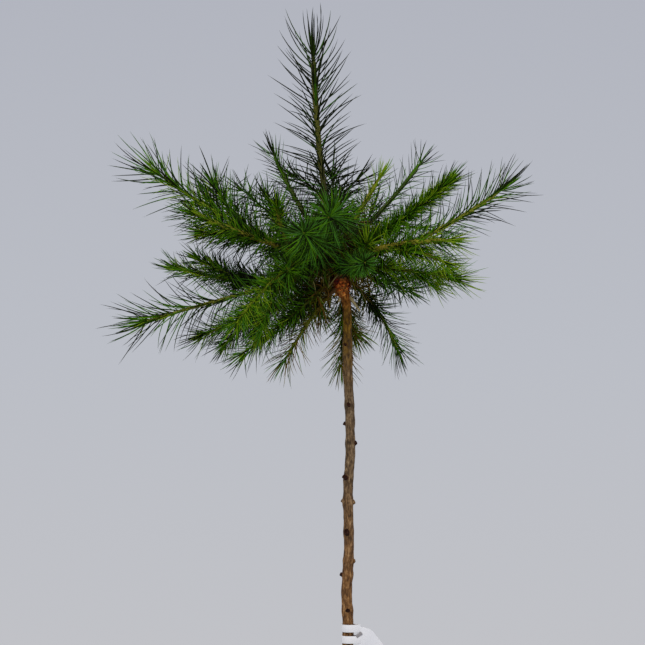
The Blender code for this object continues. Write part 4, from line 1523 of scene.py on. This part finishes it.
def make_tag(film, lug_finish):
    """The blank tag: two bands round the stem with a slot between them, the slanting flag and its lock."""
    slack = TAG_RADIUS - stem_radius(TAG_HEIGHT) - TAG_SLACK
    middle = Vector(stem_centre(TAG_HEIGHT)) + Vector((slack, 0, 0))
    low, high = TAG_SLOT / 2, TAG_SLOT / 2 + TAG_BAND
    tag = join("tag_film", [tag_flag(middle), tag_band(middle, low, high), tag_band(middle, -high, -low)])
    apply_modifier(tag, "SOLIDIFY", thickness=TAG_THICKNESS, offset=0)
    round_edges(tag, TAG_ROUNDING, 40)
    smooth_by_angle(tag)
    tag.data.materials.append(film)
    hold(tag, "tag_plastic", "tag")
    bpy.ops.mesh.primitive_cube_add(size=1)
    lug = bpy.context.object
    lug.name = lug.data.name = "tag_lock"
    lug.scale = LOCK_SIZE
    lug.rotation_euler.y = math.radians(LOCK_LEAN)
    lug.location = middle + Vector(LOCK_PLACE)
    apply_place(lug)
    apply_modifier(lug, "BEVEL", width=LOCK_ROUNDING, segments=3)
    smooth_by_angle(lug)
    lug.data.materials.append(lug_finish)
    hold(lug, "tag_plastic")


# Studio


def make_surround():
    """A pale grey surround that grows a little lighter from the top of the picture to its foot."""
    world = bpy.data.worlds.new("studio_surround")
    bpy.context.scene.world = world
    world.use_nodes = True
    p = Pattern(world, "Background", "Generated")
    rise = p.span(p.axis("Z"), -SURROUND_REACH, SURROUND_REACH)
    p.link(p.ramp(rise, SURROUND_STOPS), p.shader.inputs["Color"])


def make_studio():
    """A pale floor, a pale grey surround and soft lights."""
    bpy.ops.mesh.primitive_circle_add(
        vertices=FLOOR_SIDES, radius=FLOOR_RADIUS, fill_type="NGON", location=(0, 0, -FLOOR_DROP)
    )
    floor = bpy.context.object
    floor.name = "studio_floor"
    floor.data.materials.append(floor_finish())
    make_surround()
    for name, place, size, power in LIGHTS:
        lamp = bpy.data.lights.new(name, "AREA")
        lamp.shape = "DISK"
        lamp.size = size
        lamp.energy = power
        lamp.color = LIGHT_COLOUR
        holder = bpy.data.objects.new(name, lamp)
        add_to_scene(holder)
        holder.location = place
        aim = Vector(LIGHT_AIM) - holder.location
        holder.rotation_euler = aim.to_track_quat("-Z", "Y").to_euler()
    bpy.context.scene.view_settings.view_transform = "Standard"
    bpy.context.scene.view_settings.look = "None"


def make_camera():
    """Level with the middle of the picture, far enough off for the photograph's flat view."""
    lens = bpy.data.cameras.new("camera")
    lens.sensor_width = CAMERA_SENSOR
    lens.lens = CAMERA_SENSOR * -CAMERA_PLACE[1] / (PICTURE_WIDTH * PIXEL)
    lens.clip_start = CAMERA_NEAREST
    camera = bpy.data.objects.new("camera", lens)
    add_to_scene(camera)
    camera.location = CAMERA_PLACE
    camera.rotation_euler = (math.radians(90), 0, 0)
    bpy.context.scene.camera = camera


make_studio()
make_camera()
wood = stem_bark()
graft = graft_bark_and_painted_shade()
make_stem(wood)
make_knots("torn_knots", [place[:3] for place in spur_places() if place[3]], knot_bark())
make_knots("healed_knots", [place[:3] for place in spur_places() if not place[3]], wood)
make_graft(graft)
make_knots("graft_knobs", GRAFT_KNOBS, grain_finish("graft_red"))
make_flakes("graft_flakes", graft)
make_husks("pale_husks", PALE_HUSKS, plain("husk_buff", (196, 180, 128), roughness=0.8, specular=0.2))
make_husks("gold_husks", GOLD_HUSKS, plain("husk_gold", (206, 148, 62), roughness=0.8, specular=0.2))
needle_materials = []
for tone_name, colour in NEEDLE_TONES.items():
    needle_materials.append(plain(tone_name, colour, roughness=0.6, specular=0.06))
bough_finish = shoot_bark("bough_bark", (84, 56, 20), (80, 66, 20))
shoot_finishes = {}
for kind, (_, _, near, far) in SHOOT_WOODS.items():
    shoot_finishes[kind] = shoot_bark("shoot_bark_" + kind, near, far)
tipped = []
for limb_name, limb in LIMBS.items():
    look = LOOKS[limb_name]
    lines = shoot_lines(limb)
    tipped += lines
    twigs = [twig for line in lines for twig in side_twigs(line)] if limb_name in TWIG_SPRAYS else []
    make_limb(limb_name, limb, lines, twigs, bough_finish, shoot_finishes[look.wood])
    make_needles(limb_name, limb, lines, twigs, needle_materials)
make_buds(tipped, plain("bud_green", (128, 134, 44), roughness=0.6, specular=0.1))

make_pot(pot_plastic())
make_soil(soil_finish())
for name, kind, count, sizes, proportions, finish in STREWN:
    scatter(name, kind, count, sizes, proportions, grain_finish(finish))
make_tag(tag_film(), plain("tag_lock_grey", (150, 146, 148), roughness=0.5, specular=0.4))
